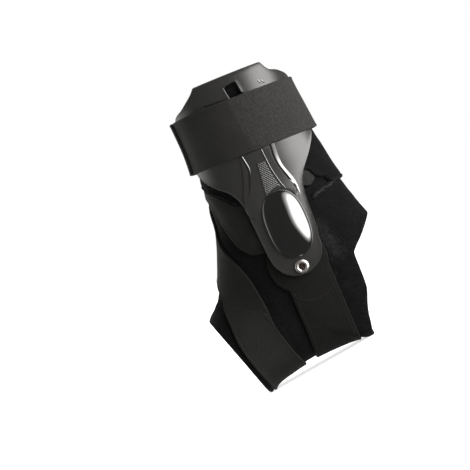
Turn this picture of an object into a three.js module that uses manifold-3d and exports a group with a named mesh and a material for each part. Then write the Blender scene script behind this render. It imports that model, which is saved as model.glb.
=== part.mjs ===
// An ankle brace for a right foot, as worn: a foam sleeve with layers of cloth, hard side shells and straps.
// Millimetres. Toes towards -X, heel towards +X, the inner (medial) side towards -Y, sole at Z = 0.
import * as THREE from 'three';
import * as BufferGeometryUtils from 'three/addons/utils/BufferGeometryUtils.js';
import Module from 'manifold-3d';

const wasm = await Module();
wasm.setup();

// Driving sizes
const BRACE_HEIGHT = 235; // sole to the top of the shells
const BRACE_DEPTH = 152; // toe edge to the back of the top strap
const CALF_WIDTH = 78; // across the skin, inside the top strap
const ANKLE_WIDTH = 70; // across the skin, at the ankle bones
const FOOT_WIDTH = 76; // across the skin, at the toe edge
const GAP = 0.3; // between pieces that touch

const SLEEVE_WALL = 3;
const PAD_THICKNESS = 2; // collar and pads
const STRAP_THICKNESS = 1.7;
const BAND_THICKNESS = 1.5;
const SHELL_WALL = 2.5;
const TONGUE_RELIEF = 0.9;

const TOP_STRAP_WIDTH = 44;
const LOWER_STRAP_WIDTH = 32;
const BAND_WIDTH = 37;
const BAND_END_RADIUS = 24;

const LOBE_RADIUS = 20.7; // round lower end of a shell
const SHELL_RISE = 147; // from the middle of the lobe to the top of the shell
const CUFF_FLARE = 39; // how far the cuff stands out behind the waist
const WINDOW_WIDTH = 9;
const WINDOW_HEIGHT = 18;
const DOME_LENGTH = 54;
const DOME_WIDTH = 33.5;
const DOME_HEIGHT = 6;
const DOME_TILT = 7.5; // degrees
const RIVET_RADIUS = 5.6;
const RIVET_HEIGHT = 2;
const RIVET_SHANK_RADIUS = 3;
const RIVET_HOLE_RADIUS = 1.8;

// Heights above the skin of each layer
const SLEEVE_TOP = SLEEVE_WALL;
const CLOTH_BOTTOM = SLEEVE_TOP + GAP;
const CLOTH_TOP = CLOTH_BOTTOM + PAD_THICKNESS;
const SHELL_BOTTOM = CLOTH_TOP + GAP;
const SHELL_TOP = SHELL_BOTTOM + SHELL_WALL;
const WRAP_BOTTOM = SHELL_TOP + GAP;
const WRAP_TOP = WRAP_BOTTOM + STRAP_THICKNESS;

// The leg and foot form: each row is a section from the calf (first) to the toe edge (last). Front and
// back are the ends of the section in the side view, as X in shares of the depth and Z in shares of the
// height. Width is a share of the width that the row names. Middle is where the section is widest, from
// the back, and square is how boxy its back half is, 2 being round.
const FORM = [
  { front: [0.020, 1.051], back: [0.566, 1.004], of: CALF_WIDTH, width: 1.02, middle: 0.50, square: 2.1 },
  { front: [0.005, 0.934], back: [0.530, 0.885], of: CALF_WIDTH, width: 0.98, middle: 0.52, square: 2.1 },
  { front: [-0.012, 0.817], back: [0.523, 0.770], of: CALF_WIDTH, width: 0.92, middle: 0.54, square: 2.0 },
  { front: [-0.047, 0.706], back: [0.520, 0.660], of: CALF_WIDTH, width: 0.85, middle: 0.56, square: 1.9 },
  { front: [-0.082, 0.626], back: [0.526, 0.566], of: ANKLE_WIDTH, width: 0.91, middle: 0.58, square: 1.8 },
  { front: [-0.102, 0.562], back: [0.539, 0.481], of: ANKLE_WIDTH, width: 0.94, middle: 0.60, square: 1.8 },
  { front: [-0.141, 0.502], back: [0.553, 0.413], of: ANKLE_WIDTH, width: 0.99, middle: 0.60, square: 1.9 },
  { front: [-0.181, 0.453], back: [0.576, 0.340], of: ANKLE_WIDTH, width: 1.02, middle: 0.58, square: 2.1 },
  { front: [-0.217, 0.411], back: [0.605, 0.213], of: ANKLE_WIDTH, width: 1.02, middle: 0.54, square: 2.3 },
  { front: [-0.247, 0.379], back: [0.566, 0.085], of: ANKLE_WIDTH, width: 1.02, middle: 0.50, square: 2.5 },
  { front: [-0.273, 0.353], back: [0.434, 0.019], of: FOOT_WIDTH, width: 0.94, middle: 0.46, square: 2.7 },
  { front: [-0.296, 0.336], back: [0.303, 0.008], of: FOOT_WIDTH, width: 0.93, middle: 0.42, square: 3.0 },
  { front: [-0.313, 0.328], back: [0.230, 0.027], of: FOOT_WIDTH, width: 0.93, middle: 0.40, square: 3.0 },
  { front: [-0.329, 0.319], back: [0.118, 0.038], of: FOOT_WIDTH, width: 0.93, middle: 0.38, square: 3.0 },
  { front: [-0.345, 0.312], back: [-0.013, 0.044], of: FOOT_WIDTH, width: 0.94, middle: 0.36, square: 3.0 },
  { front: [-0.362, 0.305], back: [-0.132, 0.041], of: FOOT_WIDTH, width: 0.96, middle: 0.35, square: 3.0 },
  { front: [-0.377, 0.298], back: [-0.250, 0.031], of: FOOT_WIDTH, width: 0.98, middle: 0.34, square: 3.0 },
  { front: [-0.388, 0.291], back: [-0.306, 0.005], of: FOOT_WIDTH, width: 1.00, middle: 0.34, square: 3.0 },
];
const FRONT_SQUARE = 2.1;
const LAST = FORM.length - 1;
const ROW_STEP = 0.95; // of a row of the table, between two rings of facets
const TURN_STEP = 12; // degrees

const COLUMNS = {
  frontX: (row) => row.front[0] * BRACE_DEPTH,
  frontZ: (row) => row.front[1] * BRACE_HEIGHT,
  backX: (row) => row.back[0] * BRACE_DEPTH,
  backZ: (row) => row.back[1] * BRACE_HEIGHT,
  halfWidth: (row) => (row.width * row.of) / 2,
  middle: (row) => row.middle,
  square: (row) => row.square,
};

// One smooth value of the table, between its rows
function column(name, at) {
  const row = Math.min(Math.floor(Math.max(at, 0)), LAST - 1);
  const share = at - row;
  const [a, b, c, d] = [-1, 0, 1, 2].map(
    (step) => COLUMNS[name](FORM[THREE.MathUtils.clamp(row + step, 0, LAST)]),
  );
  return 0.5 * (2 * b + (c - a) * share + (2 * a - 5 * b + 4 * c - d) * share ** 2
    + (3 * b - a - 3 * c + d) * share ** 3);
}

// A point of the skin: at is the row, turn the degrees round it from the front, 90 being the medial side
function skin(at, turn) {
  const angle = THREE.MathUtils.degToRad(turn);
  const [cos, sin] = [Math.cos(angle), Math.sin(angle)];
  const square = cos > 0 ? FRONT_SQUARE : column('square', at);
  const radius = (Math.abs(cos) ** square + Math.abs(sin) ** square) ** (-1 / square);
  const middle = column('middle', at);
  const share = middle + radius * cos * (cos > 0 ? 1 - middle : middle);
  const across = (front, back) => THREE.MathUtils.lerp(column(back, at), column(front, at), share);
  const y = -radius * sin * column('halfWidth', at);
  return new THREE.Vector3(across('frontX', 'backX'), y, across('frontZ', 'backZ'));
}

const SMALL_ROW = 0.05;
const SMALL_TURN = 0.5;

function outward(at, turn) {
  const along = skin(at + SMALL_ROW, turn).sub(skin(at - SMALL_ROW, turn));
  const round = skin(at, turn + SMALL_TURN).sub(skin(at, turn - SMALL_TURN));
  return along.cross(round).normalize();
}

// A point at a height above the skin
const raised = (at, turn, height) => skin(at, turn).addScaledVector(outward(at, turn), height);

// How a raised point moves for each row and each degree
function slopes(at, turn, height) {
  const here = raised(at, turn, height);
  const down = raised(at + SMALL_ROW, turn, height).sub(here).divideScalar(SMALL_ROW);
  const back = raised(at, turn + SMALL_TURN, height).sub(here).divideScalar(SMALL_TURN);
  return { here, down, back };
}

// The row and turn whose raised point has this place in the side view, on the medial side
function locate(x, z, height) {
  let best = { miss: Infinity };
  for (let at = 0.2; at < LAST; at += 0.5) {
    for (let turn = 5; turn < 180; turn += 5) {
      const point = skin(at, turn);
      const miss = Math.hypot(point.x - x, point.z - z);
      if (miss < best.miss) best = { miss, at, turn };
    }
  }
  let { at, turn } = best;
  for (let round = 0; round < 12; round += 1) {
    const { here, down, back } = slopes(at, turn, height);
    const [missX, missZ] = [x - here.x, z - here.z];
    const size = down.x * back.z - back.x * down.z;
    at += THREE.MathUtils.clamp((missX * back.z - back.x * missZ) / size, -0.5, 0.5);
    turn += THREE.MathUtils.clamp((down.x * missZ - missX * down.z) / size, -8, 8);
  }
  return { at, turn };
}

// A closed solid from two grids of points, outer and inner. Each grid is a list of rows of Vector3.
function solid(outer, inner, closedRound) {
  const rows = outer.length;
  const columns = outer[0].length;
  const points = [...outer.flat(), ...inner.flat()];
  const index = (layer, row, place) => layer * rows * columns + row * columns + (place % columns);
  const faces = [];
  const quad = (a, b, c, d) => faces.push(a, b, c, a, c, d);
  const spans = closedRound ? columns : columns - 1;
  for (let row = 0; row < rows - 1; row += 1) {
    for (let place = 0; place < spans; place += 1) {
      const [below, beside] = [row + 1, place + 1];
      quad(index(0, row, place), index(0, below, place), index(0, below, beside), index(0, row, beside));
      quad(index(1, row, place), index(1, row, beside), index(1, below, beside), index(1, below, place));
    }
  }
  for (let place = 0; place < spans; place += 1) {
    quad(index(0, 0, place), index(0, 0, place + 1), index(1, 0, place + 1), index(1, 0, place));
    const end = rows - 1;
    quad(index(0, end, place + 1), index(0, end, place), index(1, end, place), index(1, end, place + 1));
  }
  if (!closedRound) {
    for (let row = 0; row < rows - 1; row += 1) {
      const end = columns - 1;
      quad(index(0, row + 1, 0), index(0, row, 0), index(1, row, 0), index(1, row + 1, 0));
      quad(index(0, row, end), index(0, row + 1, end), index(1, row + 1, end), index(1, row, end));
    }
  }
  return manifold(points.flatMap((point) => point.toArray()), faces);
}

function manifold(positions, faces) {
  const mesh = { numProp: 3, vertProperties: new Float32Array(positions), triVerts: new Uint32Array(faces) };
  return new wasm.Manifold(new wasm.Mesh(mesh));
}

function manifoldOf(geometry) {
  geometry.deleteAttribute('normal');
  geometry.deleteAttribute('uv');
  const merged = BufferGeometryUtils.mergeVertices(geometry, 1e-4);
  return manifold(merged.attributes.position.array, merged.index.array);
}

// A layer of the form between two heights, all the way round
function layer(low, high, from = 0, to = LAST) {
  const steps = Math.round((to - from) / ROW_STEP);
  const grid = (height) => Array.from({ length: steps + 1 }, (_, row) => {
    const at = THREE.MathUtils.lerp(from, to, row / steps);
    return Array.from({ length: 360 / TURN_STEP }, (__, place) => raised(at, place * TURN_STEP, height));
  });
  return solid(grid(high), grid(low), true);
}

// A prism across the brace with this outline in the side view, from one Y to another
function prism(outline, fromY, toY) {
  const shape = new THREE.Shape(outline.map(([x, z]) => new THREE.Vector2(x, z)));
  const geometry = new THREE.ExtrudeGeometry(shape, { depth: toY - fromY, bevelEnabled: false });
  geometry.rotateX(Math.PI / 2);
  geometry.translate(0, toY, 0);
  return manifoldOf(geometry);
}

// Points on a smooth curve through the given ones
function smooth(points, count = points.length * 2) {
  const curve = new THREE.SplineCurve(points.map(([x, z]) => new THREE.Vector2(x, z)));
  return curve.getPoints(count).map((point) => [point.x, point.y]);
}

const WIDE = BRACE_DEPTH; // past both sides of the brace
const MEDIAL = [-WIDE, -GAP];
const LATERAL = [GAP, WIDE];
const ACROSS = [-WIDE, WIDE];
const inForm = (rows) => rows.map(({ x, z }) => [x * BRACE_DEPTH, z * BRACE_HEIGHT]);

// Heel opening, seen from the side, from the sole up to the tip over the heel cord
const HEEL_EDGE = [
  { x: 0.311, z: -0.030 }, { x: 0.313, z: 0.002 }, { x: 0.320, z: 0.021 }, { x: 0.351, z: 0.087 },
  { x: 0.395, z: 0.146 }, { x: 0.414, z: 0.207 }, { x: 0.427, z: 0.263 }, { x: 0.450, z: 0.281 },
  { x: 0.517, z: 0.311 }, { x: 0.577, z: 0.342 }, { x: 0.640, z: 0.375 },
];

// Collar, seen from the side, each edge from front to back
const COLLAR_TOP = [
  { x: -0.200, z: 0.910 }, { x: -0.026, z: 0.919 }, { x: 0.053, z: 0.945 }, { x: 0.132, z: 0.979 },
  { x: 0.300, z: 0.968 }, { x: 0.460, z: 0.945 }, { x: 0.526, z: 0.902 }, { x: 0.566, z: 0.864 },
  { x: 0.790, z: 0.850 },
];
const COLLAR_EDGE = [
  { x: -0.200, z: 0.725 }, { x: -0.099, z: 0.706 }, { x: -0.081, z: 0.677 }, { x: -0.032, z: 0.640 },
  { x: 0.022, z: 0.593 }, { x: 0.130, z: 0.575 }, { x: 0.263, z: 0.583 }, { x: 0.412, z: 0.586 },
  { x: 0.444, z: 0.555 }, { x: 0.492, z: 0.530 }, { x: 0.527, z: 0.505 }, { x: 0.790, z: 0.505 },
];

// Pad, seen from the side: its front panel, its lower edge and its rear tab. The collar's edge ends it above.
const PAD_EDGE = [
  { x: -0.101, z: 0.740 }, { x: -0.103, z: 0.666 }, { x: -0.097, z: 0.591 }, { x: -0.094, z: 0.529 },
  { x: -0.082, z: 0.475 }, { x: -0.053, z: 0.440 }, { x: -0.022, z: 0.422 }, { x: 0.066, z: 0.413 },
  { x: 0.280, z: 0.447 }, { x: 0.310, z: 0.515 }, { x: 0.362, z: 0.541 }, { x: 0.395, z: 0.532 },
  { x: 0.422, z: 0.538 }, { x: 0.445, z: 0.553 }, { x: 0.434, z: 0.579 }, { x: 0.405, z: 0.640 },
];

// Shell, from the middle of its lobe: up in shares of the rise, out beyond the waist in shares of the flare
const LOBE_X = 0.168 * BRACE_DEPTH;
const LOBE_Z = 0.374 * BRACE_HEIGHT;
const SHELL_BACK = [
  { up: 0.042, out: 0.059 }, { up: 0.134, out: 0.118 }, { up: 0.229, out: 0.185 },
  { up: 0.301, out: 0.285 }, { up: 0.352, out: 0.426 }, { up: 0.410, out: 0.643 },
  { up: 0.469, out: 0.817 }, { up: 0.530, out: 0.910 }, { up: 0.660, out: 0.980 },
  { up: 0.815, out: 1.010 }, { up: 0.871, out: 0.903 }, { up: 0.899, out: 0.744 },
  { up: 0.951, out: 0.664 },
];
const SHELL_FRONT = [
  { up: 1.000, out: -0.367 }, { up: 0.973, out: -0.246 }, { up: 0.936, out: -0.008 },
  { up: 0.900, out: 0.208 }, { up: 0.762, out: 0.300 }, { up: 0.618, out: 0.356 },
  { up: 0.548, out: 0.333 }, { up: 0.479, out: 0.205 }, { up: 0.414, out: 0.015 },
  { up: 0.327, out: -0.075 }, { up: 0.230, out: -0.054 }, { up: 0.120, out: -0.023 },
  { up: 0.037, out: 0.000 },
];
// The raised tongue between the ribs, above the dome
const TONGUE = [
  { up: 0.600, side: -0.050 }, { up: 0.540, side: -0.080 }, { up: 0.440, side: -0.230 },
  { up: 0.360, side: -0.400 }, { up: 0.260, side: -0.470 }, { up: 0.180, side: 0.000 },
  { up: 0.260, side: 0.640 }, { up: 0.360, side: 0.620 }, { up: 0.480, side: 0.560 },
  { up: 0.540, side: 0.540 }, { up: 0.600, side: 0.520 },
];
const WINDOW_X = 0.290 * BRACE_DEPTH;
const WINDOW_TOP = 0.949 * BRACE_HEIGHT;
const RIVET_FORWARD = 2;
const RIVET_DROP = 14;
const RIVET_X = LOBE_X - RIVET_FORWARD;
const RIVET_Z = LOBE_Z - RIVET_DROP;
const DOME_BEHIND = 4.3;
const DOME_UP = 20;
const DOME_RIM = 0.8;
const DOME_SQUARE = 2.5;

const TOP_STRAP_X = 0.257 * BRACE_DEPTH;
const TOP_STRAP_Z = 0.815 * BRACE_HEIGHT;
const TOP_STRAP_TILT = 8; // degrees
const STRAP_END_FRONT = 9; // how far the free end reaches over the front to the medial side
const STRAP_END_BACK = 0.23 * BRACE_DEPTH;
const BAND_TILT = 6.6; // degrees
const BAND_BEHIND = 1.5;
const BAND_END_FORWARD = 3; // the middle of its round end, from the middle of the lobe
const BAND_END_DROP = 9;

// Lower strap's middle line: from the sole's outer edge, up the medial side, over the front and to the
// lateral side
const LOWER_STRAP = [
  { at: 15.35, turn: 225 }, { at: 15.35, turn: 180 }, { at: 15.30, turn: 130 }, { at: 15.15, turn: 105 },
  { at: 14.70, turn: 80 }, { at: 13.70, turn: 63 }, { at: 11.30, turn: 46 }, { at: 9.20, turn: 35 },
  { at: 7.90, turn: 23 }, { at: 7.10, turn: 9 }, { at: 6.60, turn: 0 }, { at: 5.70, turn: -13 },
  { at: 4.90, turn: -25 }, { at: 3.75, turn: -46 }, { at: 2.75, turn: -68 }, { at: 2.20, turn: -80 },
];

// Moved by this, the same line clears what the strap would leave of the lateral pad above it
const ABOVE_STRAP = { at: 1, turn: 18 };

const disc = (x, z, radius, sides = 28) => Array.from({ length: sides }, (_, step) => {
  const angle = (step / sides) * 2 * Math.PI;
  return [x + radius * Math.cos(angle), z + radius * Math.sin(angle)];
});

const box = (x, z, width, height) => [
  [x - width / 2, z - height / 2], [x + width / 2, z - height / 2],
  [x + width / 2, z + height / 2], [x - width / 2, z + height / 2],
];

function turned(outline, x, z, degrees) {
  const middle = new THREE.Vector2(x, z);
  const angle = THREE.MathUtils.degToRad(degrees);
  return outline.map((point) => new THREE.Vector2(...point).rotateAround(middle, angle).toArray());
}

// The space that a ribbon takes through all layers, along a line of rows and turns, with clearance round it
function ribbon(line, bareWidth, clearance) {
  const width = bareWidth + 2 * clearance;
  const path = new THREE.SplineCurve(line.map(({ at, turn }) => new THREE.Vector2(at, turn)));
  const places = path.getPoints(line.length * 2);
  if (clearance > 0) {
    const [first, second] = places;
    const [last, previous] = [...places].reverse();
    places[0] = first.clone().add(first.clone().sub(second).multiplyScalar(0.3));
    places[places.length - 1] = last.clone().add(last.clone().sub(previous).multiplyScalar(0.3));
  }
  const sideSteps = 8;
  const low = CLOTH_BOTTOM / 2;
  const high = SHELL_TOP + STRAP_THICKNESS;
  const march = (start, direction) => {
    const found = [start];
    for (let step = 0; step < sideSteps; step += 1) {
      const last = found[found.length - 1];
      const { down, back } = slopes(last.x, last.y, CLOTH_BOTTOM);
      const [dd, db, bb] = [down.dot(down), down.dot(back), back.dot(back)];
      const [wd, wb] = [direction.dot(down), direction.dot(back)];
      const size = (dd * bb - db * db) * ((2 * sideSteps) / width);
      const move = new THREE.Vector2(wd * bb - wb * db, wb * dd - wd * db).divideScalar(size);
      found.push(last.clone().add(move));
    }
    return found;
  };
  const rows = places.map((place, index) => {
    const before = places[Math.max(index - 1, 0)];
    const after = places[Math.min(index + 1, places.length - 1)];
    const along = raised(after.x, after.y, CLOTH_BOTTOM).sub(raised(before.x, before.y, CLOTH_BOTTOM));
    const sideways = outward(place.x, place.y).cross(along).normalize();
    const left = march(place, sideways.clone().negate());
    const right = march(place, sideways);
    const half = sideSteps / 2;
    return [left[sideSteps], left[half], place, right[half], right[sideSteps]];
  });
  const grid = (height) => rows.map((row) => row.map(({ x, y }) => raised(x, y, height)));
  return solid(grid(high), grid(low), false);
}

function shellOutline() {
  const bottom = Array.from({ length: 15 }, (_, step) => {
    const angle = Math.PI * (1 + step / 14);
    return [LOBE_X + LOBE_RADIUS * Math.cos(angle), LOBE_Z + LOBE_RADIUS * Math.sin(angle)];
  });
  const edge = (rows, side) => smooth(rows.map(({ up, out }) => [
    LOBE_X + side * (LOBE_RADIUS + out * CUFF_FLARE), LOBE_Z + up * SHELL_RISE,
  ]), rows.length * 2);
  return [...bottom, ...edge(SHELL_BACK, 1), ...edge(SHELL_FRONT, -1)];
}

// How far the dome's outline reaches at an angle, where a circle's would be 1
const reach = (angle) => (
  Math.abs(Math.cos(angle)) ** DOME_SQUARE + Math.abs(Math.sin(angle)) ** DOME_SQUARE
) ** (-1 / DOME_SQUARE);

// A closed cap over a disc-like outline on the medial side, crowned in the middle
function cap(x, z, length, width, tilt, base, rim, crown) {
  const steps = { up: 12, side: 8 };
  const grid = (height) => Array.from({ length: steps.up + 1 }, (_, row) => {
    const v = 1 - (2 * row) / steps.up;
    return Array.from({ length: steps.side + 1 }, (__, place) => {
      const u = (2 * place) / steps.side - 1;
      const disk = new THREE.Vector2(u * Math.sqrt(1 - v * v / 2), v * Math.sqrt(1 - u * u / 2));
      const radius = Math.min(disk.length(), 1);
      const angle = Math.atan2(disk.y, disk.x);
      const boxy = disk.multiplyScalar(reach(angle));
      const point = new THREE.Vector2((boxy.x * width) / 2, (boxy.y * length) / 2)
        .rotateAround(new THREE.Vector2(), THREE.MathUtils.degToRad(-tilt));
      const { at, turn } = locate(x + point.x, z + point.y, base);
      return raised(at, turn, height(radius));
    });
  });
  return solid(grid((radius) => base + rim + crown * Math.sqrt(1 - radius ** 2)), grid(() => base), false);
}

// The same solid on the other side of the brace
function mirrored(body) {
  const mesh = body.getMesh();
  const isY = (index) => index % 3 === 1;
  const positions = Float32Array.from(mesh.vertProperties, (value, index) => (isY(index) ? -value : value));
  const faces = Uint32Array.from(mesh.triVerts);
  for (let start = 0; start < faces.length; start += 3) {
    [faces[start], faces[start + 1]] = [faces[start + 1], faces[start]];
  }
  return manifold(positions, faces);
}

function rivet() {
  const deep = SHELL_TOP + GAP - CLOTH_BOTTOM;
  const profile = [
    [0, -deep], [RIVET_SHANK_RADIUS, -deep], [RIVET_SHANK_RADIUS, 0], [RIVET_RADIUS, 0],
    [RIVET_RADIUS * 0.95, RIVET_HEIGHT * 0.45], [RIVET_RADIUS * 0.72, RIVET_HEIGHT],
    [RIVET_HOLE_RADIUS * 1.25, RIVET_HEIGHT * 0.95], [RIVET_HOLE_RADIUS, RIVET_HEIGHT * 0.6],
    [RIVET_HOLE_RADIUS, RIVET_HEIGHT * 0.1], [0, RIVET_HEIGHT * 0.1],
  ];
  const geometry = new THREE.LatheGeometry(profile.map(([r, y]) => new THREE.Vector2(r, y)), 16);
  const { at, turn } = locate(RIVET_X, RIVET_Z, SHELL_TOP);
  const normal = outward(at, turn);
  geometry.applyQuaternion(new THREE.Quaternion().setFromUnitVectors(new THREE.Vector3(0, 1, 0), normal));
  geometry.translate(...raised(at, turn, SHELL_TOP + GAP).toArray());
  return manifoldOf(geometry);
}

// Spaces that several pieces share
const collarTop = smooth(inForm(COLLAR_TOP));
const collarSpace = (clearance) => {
  const edge = smooth(inForm(COLLAR_EDGE)).map(([x, z]) => [x, z - clearance]);
  return prism([...edge, ...[...collarTop].reverse()], ...ACROSS);
};
const heelSpace = prism([...smooth(inForm(HEEL_EDGE)), [2 * BRACE_DEPTH, 0.4 * BRACE_HEIGHT],
  [2 * BRACE_DEPTH, -WIDE], [0.311 * BRACE_DEPTH, -WIDE]], ...ACROSS);
const aboveCollar = prism([...collarTop, [2 * BRACE_DEPTH, 2 * BRACE_HEIGHT],
  [-BRACE_DEPTH, 2 * BRACE_HEIGHT], [-BRACE_DEPTH, COLLAR_TOP[0].z * BRACE_HEIGHT]], ...ACROSS);
const floor = prism(box(0, -WIDE / 2, 4 * BRACE_DEPTH, WIDE), ...ACROSS);
const topStrapSpace = (width) => prism(
  turned(box(TOP_STRAP_X, TOP_STRAP_Z, 2 * BRACE_DEPTH, width), TOP_STRAP_X, TOP_STRAP_Z, -TOP_STRAP_TILT),
  ...ACROSS,
);
const bandSpace = (clearance) => {
  const run = turned(
    box(LOBE_X + BAND_BEHIND, LOBE_Z - BRACE_HEIGHT / 2, BAND_WIDTH + 2 * clearance, BRACE_HEIGHT),
    LOBE_X + BAND_BEHIND, LOBE_Z, -BAND_TILT,
  );
  const end = disc(LOBE_X - BAND_END_FORWARD, LOBE_Z - BAND_END_DROP, BAND_END_RADIUS + clearance);
  const above = prism(box(LOBE_X, RIVET_Z + BRACE_HEIGHT / 2, BRACE_DEPTH, BRACE_HEIGHT), ...ACROSS);
  return prism(run, ...ACROSS).subtract(above).add(prism(end, ...ACROSS));
};
const rivetHole = prism(disc(RIVET_X, RIVET_Z, RIVET_SHANK_RADIUS + GAP, 16), ...ACROSS);
const domeX = LOBE_X + DOME_BEHIND;
const domeZ = LOBE_Z + DOME_UP;
const domeSpace = prism(
  turned(disc(0, 0, 1).map(([x, z]) => [
    domeX + x * reach(Math.atan2(z, x)) * (DOME_WIDTH / 2 + 3 * GAP),
    domeZ + z * reach(Math.atan2(z, x)) * (DOME_LENGTH / 2 + 3 * GAP),
  ]), domeX, domeZ, -DOME_TILT),
  ...ACROSS,
);

const clothLayer = layer(CLOTH_BOTTOM, CLOTH_TOP);
const lowerStrapSpace = ribbon(LOWER_STRAP, LOWER_STRAP_WIDTH, 2 * GAP);
const aboveStrap = LOWER_STRAP.map(
  ({ at, turn }) => ({ at: at - ABOVE_STRAP.at, turn: turn + ABOVE_STRAP.turn }),
);
const aboveStrapSpace = ribbon(aboveStrap, LOWER_STRAP_WIDTH, 0);

const sleeve = layer(0, SLEEVE_TOP).subtract(heelSpace).subtract(aboveCollar).subtract(floor);
const collar = clothLayer.intersect(collarSpace(0)).subtract(lowerStrapSpace);
const pad = (side) => clothLayer.intersect(prism(smooth(inForm(PAD_EDGE)), ...side))
  .subtract(collarSpace(GAP)).subtract(bandSpace(GAP));
const medialPad = pad(MEDIAL);
const lateralPad = pad(LATERAL).subtract(lowerStrapSpace).subtract(aboveStrapSpace);
const lowerStrap = layer(CLOTH_BOTTOM, CLOTH_BOTTOM + STRAP_THICKNESS)
  .intersect(ribbon(LOWER_STRAP, LOWER_STRAP_WIDTH, 0)).subtract(floor);
const band = layer(CLOTH_BOTTOM, CLOTH_BOTTOM + BAND_THICKNESS)
  .intersect(bandSpace(0)).subtract(rivetHole).subtract(floor);

const tongueOutline = smooth(
  TONGUE.map(({ up, side }) => [LOBE_X + side * CUFF_FLARE, LOBE_Z + up * SHELL_RISE]),
);
const tongueLayer = layer(SHELL_BOTTOM + SHELL_WALL / 2, SHELL_TOP + TONGUE_RELIEF)
  .subtract(domeSpace).subtract(topStrapSpace(TOP_STRAP_WIDTH + 2 * GAP));
const shell = (side) => layer(SHELL_BOTTOM, SHELL_TOP).intersect(prism(shellOutline(), ...side))
  .add(tongueLayer.intersect(prism(tongueOutline, ...side)))
  .subtract(prism(box(WINDOW_X, WINDOW_TOP - WINDOW_HEIGHT / 2, WINDOW_WIDTH, WINDOW_HEIGHT), ...side))
  .subtract(rivetHole);
const dome = cap(domeX, domeZ, DOME_LENGTH, DOME_WIDTH, DOME_TILT, SHELL_TOP + GAP, DOME_RIM, DOME_HEIGHT);
const rivetHead = rivet();

const topStrap = layer(WRAP_BOTTOM, WRAP_TOP).intersect(topStrapSpace(TOP_STRAP_WIDTH));
const strapEndReach = prism(
  box(STRAP_END_BACK - BRACE_DEPTH, TOP_STRAP_Z, 2 * BRACE_DEPTH, BRACE_HEIGHT), -STRAP_END_FRONT, WIDE,
);
const topStrapEnd = layer(WRAP_TOP + GAP, WRAP_TOP + GAP + STRAP_THICKNESS)
  .intersect(topStrapSpace(TOP_STRAP_WIDTH)).intersect(strapEndReach);

// Finishes
const finish = (name, color, roughness, metalness = 0) => Object.assign(
  new THREE.MeshStandardMaterial({ color, roughness, metalness }), { name },
);
const velour = finish('velour', 0x0d0d0e, 0.95);
const padCloth = finish('pad cloth', 0x3a3a36, 0.7);
const elastic = finish('elastic', 0x262624, 0.8);
const webbing = finish('webbing', 0x1b1b1b, 0.75);
const shellPlastic = finish('shell plastic', 0x222224, 0.38);
const glossPlastic = finish('gloss plastic', 0x050506, 0.08);
const chrome = finish('chrome', 0xc8c4bf, 0.15, 1);

const brace = new THREE.Group();
function add(name, body, material) {
  const mesh = body.getMesh();
  const geometry = new THREE.BufferGeometry();
  geometry.setAttribute('position', new THREE.BufferAttribute(mesh.vertProperties, 3));
  geometry.setIndex(new THREE.BufferAttribute(mesh.triVerts, 1));
  const part = new THREE.Mesh(geometry, material);
  part.name = name;
  brace.add(part);
}

add('sleeve', sleeve, velour);
add('collar', collar, velour);
add('medial_pad', medialPad, padCloth);
add('lateral_pad', lateralPad, padCloth);
add('stirrup_band', band, webbing);
add('lower_strap', lowerStrap, elastic);
add('medial_shell', shell(MEDIAL), shellPlastic);
add('lateral_shell', shell(LATERAL), shellPlastic);
add('medial_dome', dome, glossPlastic);
add('lateral_dome', mirrored(dome), glossPlastic);
add('medial_rivet', rivetHead, chrome);
add('lateral_rivet', mirrored(rivetHead), chrome);
add('top_strap', topStrap, webbing);
add('top_strap_end', topStrapEnd, webbing);

// The origin is the middle of the underside
const extent = new THREE.Box3().setFromObject(brace);
brace.position.set(-(extent.min.x + extent.max.x) / 2, -(extent.min.y + extent.max.y) / 2, -extent.min.z);
brace.updateMatrixWorld(true);

const ankleSupport = new THREE.Group();
ankleSupport.add(brace);

export default ankleSupport;
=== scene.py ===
import math

import bmesh
import bpy
import numpy as np
from bpy.props import FloatProperty, FloatVectorProperty, PointerProperty
from mathutils import Matrix, Vector


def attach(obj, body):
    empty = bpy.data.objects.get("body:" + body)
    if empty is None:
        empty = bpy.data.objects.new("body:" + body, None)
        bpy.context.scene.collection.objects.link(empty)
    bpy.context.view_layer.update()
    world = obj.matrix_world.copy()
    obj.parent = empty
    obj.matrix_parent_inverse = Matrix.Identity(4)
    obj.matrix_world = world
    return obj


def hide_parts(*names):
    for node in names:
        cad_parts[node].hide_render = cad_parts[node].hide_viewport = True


bl_info = {
    "name": "Ankle brace",
    "version": (1, 0, 0),
    "blender": (4, 5, 0),
    "location": "3D View > Sidebar > Brace",
    "description": "Dresses the solids of an ankle brace: cloth layers, straps, shells and stage",
    "category": "Add Mesh",
}

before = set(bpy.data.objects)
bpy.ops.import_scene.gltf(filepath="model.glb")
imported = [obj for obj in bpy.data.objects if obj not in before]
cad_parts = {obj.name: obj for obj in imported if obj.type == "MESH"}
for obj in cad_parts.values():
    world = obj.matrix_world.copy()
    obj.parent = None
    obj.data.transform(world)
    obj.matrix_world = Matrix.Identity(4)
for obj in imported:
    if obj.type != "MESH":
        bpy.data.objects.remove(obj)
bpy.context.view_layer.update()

# Sizes of the solids, in millimetres. Toes towards -X, the inner side towards -Y.
MM = 0.001
BRACE_HEIGHT = 235.0
BRACE_DEPTH = 152.0
CALF_WIDTH = 78.0
ANKLE_WIDTH = 70.0
FOOT_WIDTH = 76.0
MIDDLE_X = 14.8  # from the form's own zero to the middle of the underside
GAP = 0.3
SLEEVE_WALL = 3.0
PAD_THICKNESS = 2.0
STRAP_THICKNESS = 1.7
BAND_THICKNESS = 1.5
SHELL_WALL = 2.5
TOP_STRAP_WIDTH = 44.0
LOWER_STRAP_WIDTH = 32.0
BAND_WIDTH = 37.0
BAND_END_RADIUS = 24.0
LOBE_RADIUS = 20.7
SHELL_RISE = 147.0
CUFF_FLARE = 39.0
WINDOW_WIDTH = 9.0
WINDOW_HEIGHT = 18.0
DOME_LENGTH = 54.0
DOME_WIDTH = 33.5
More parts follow.
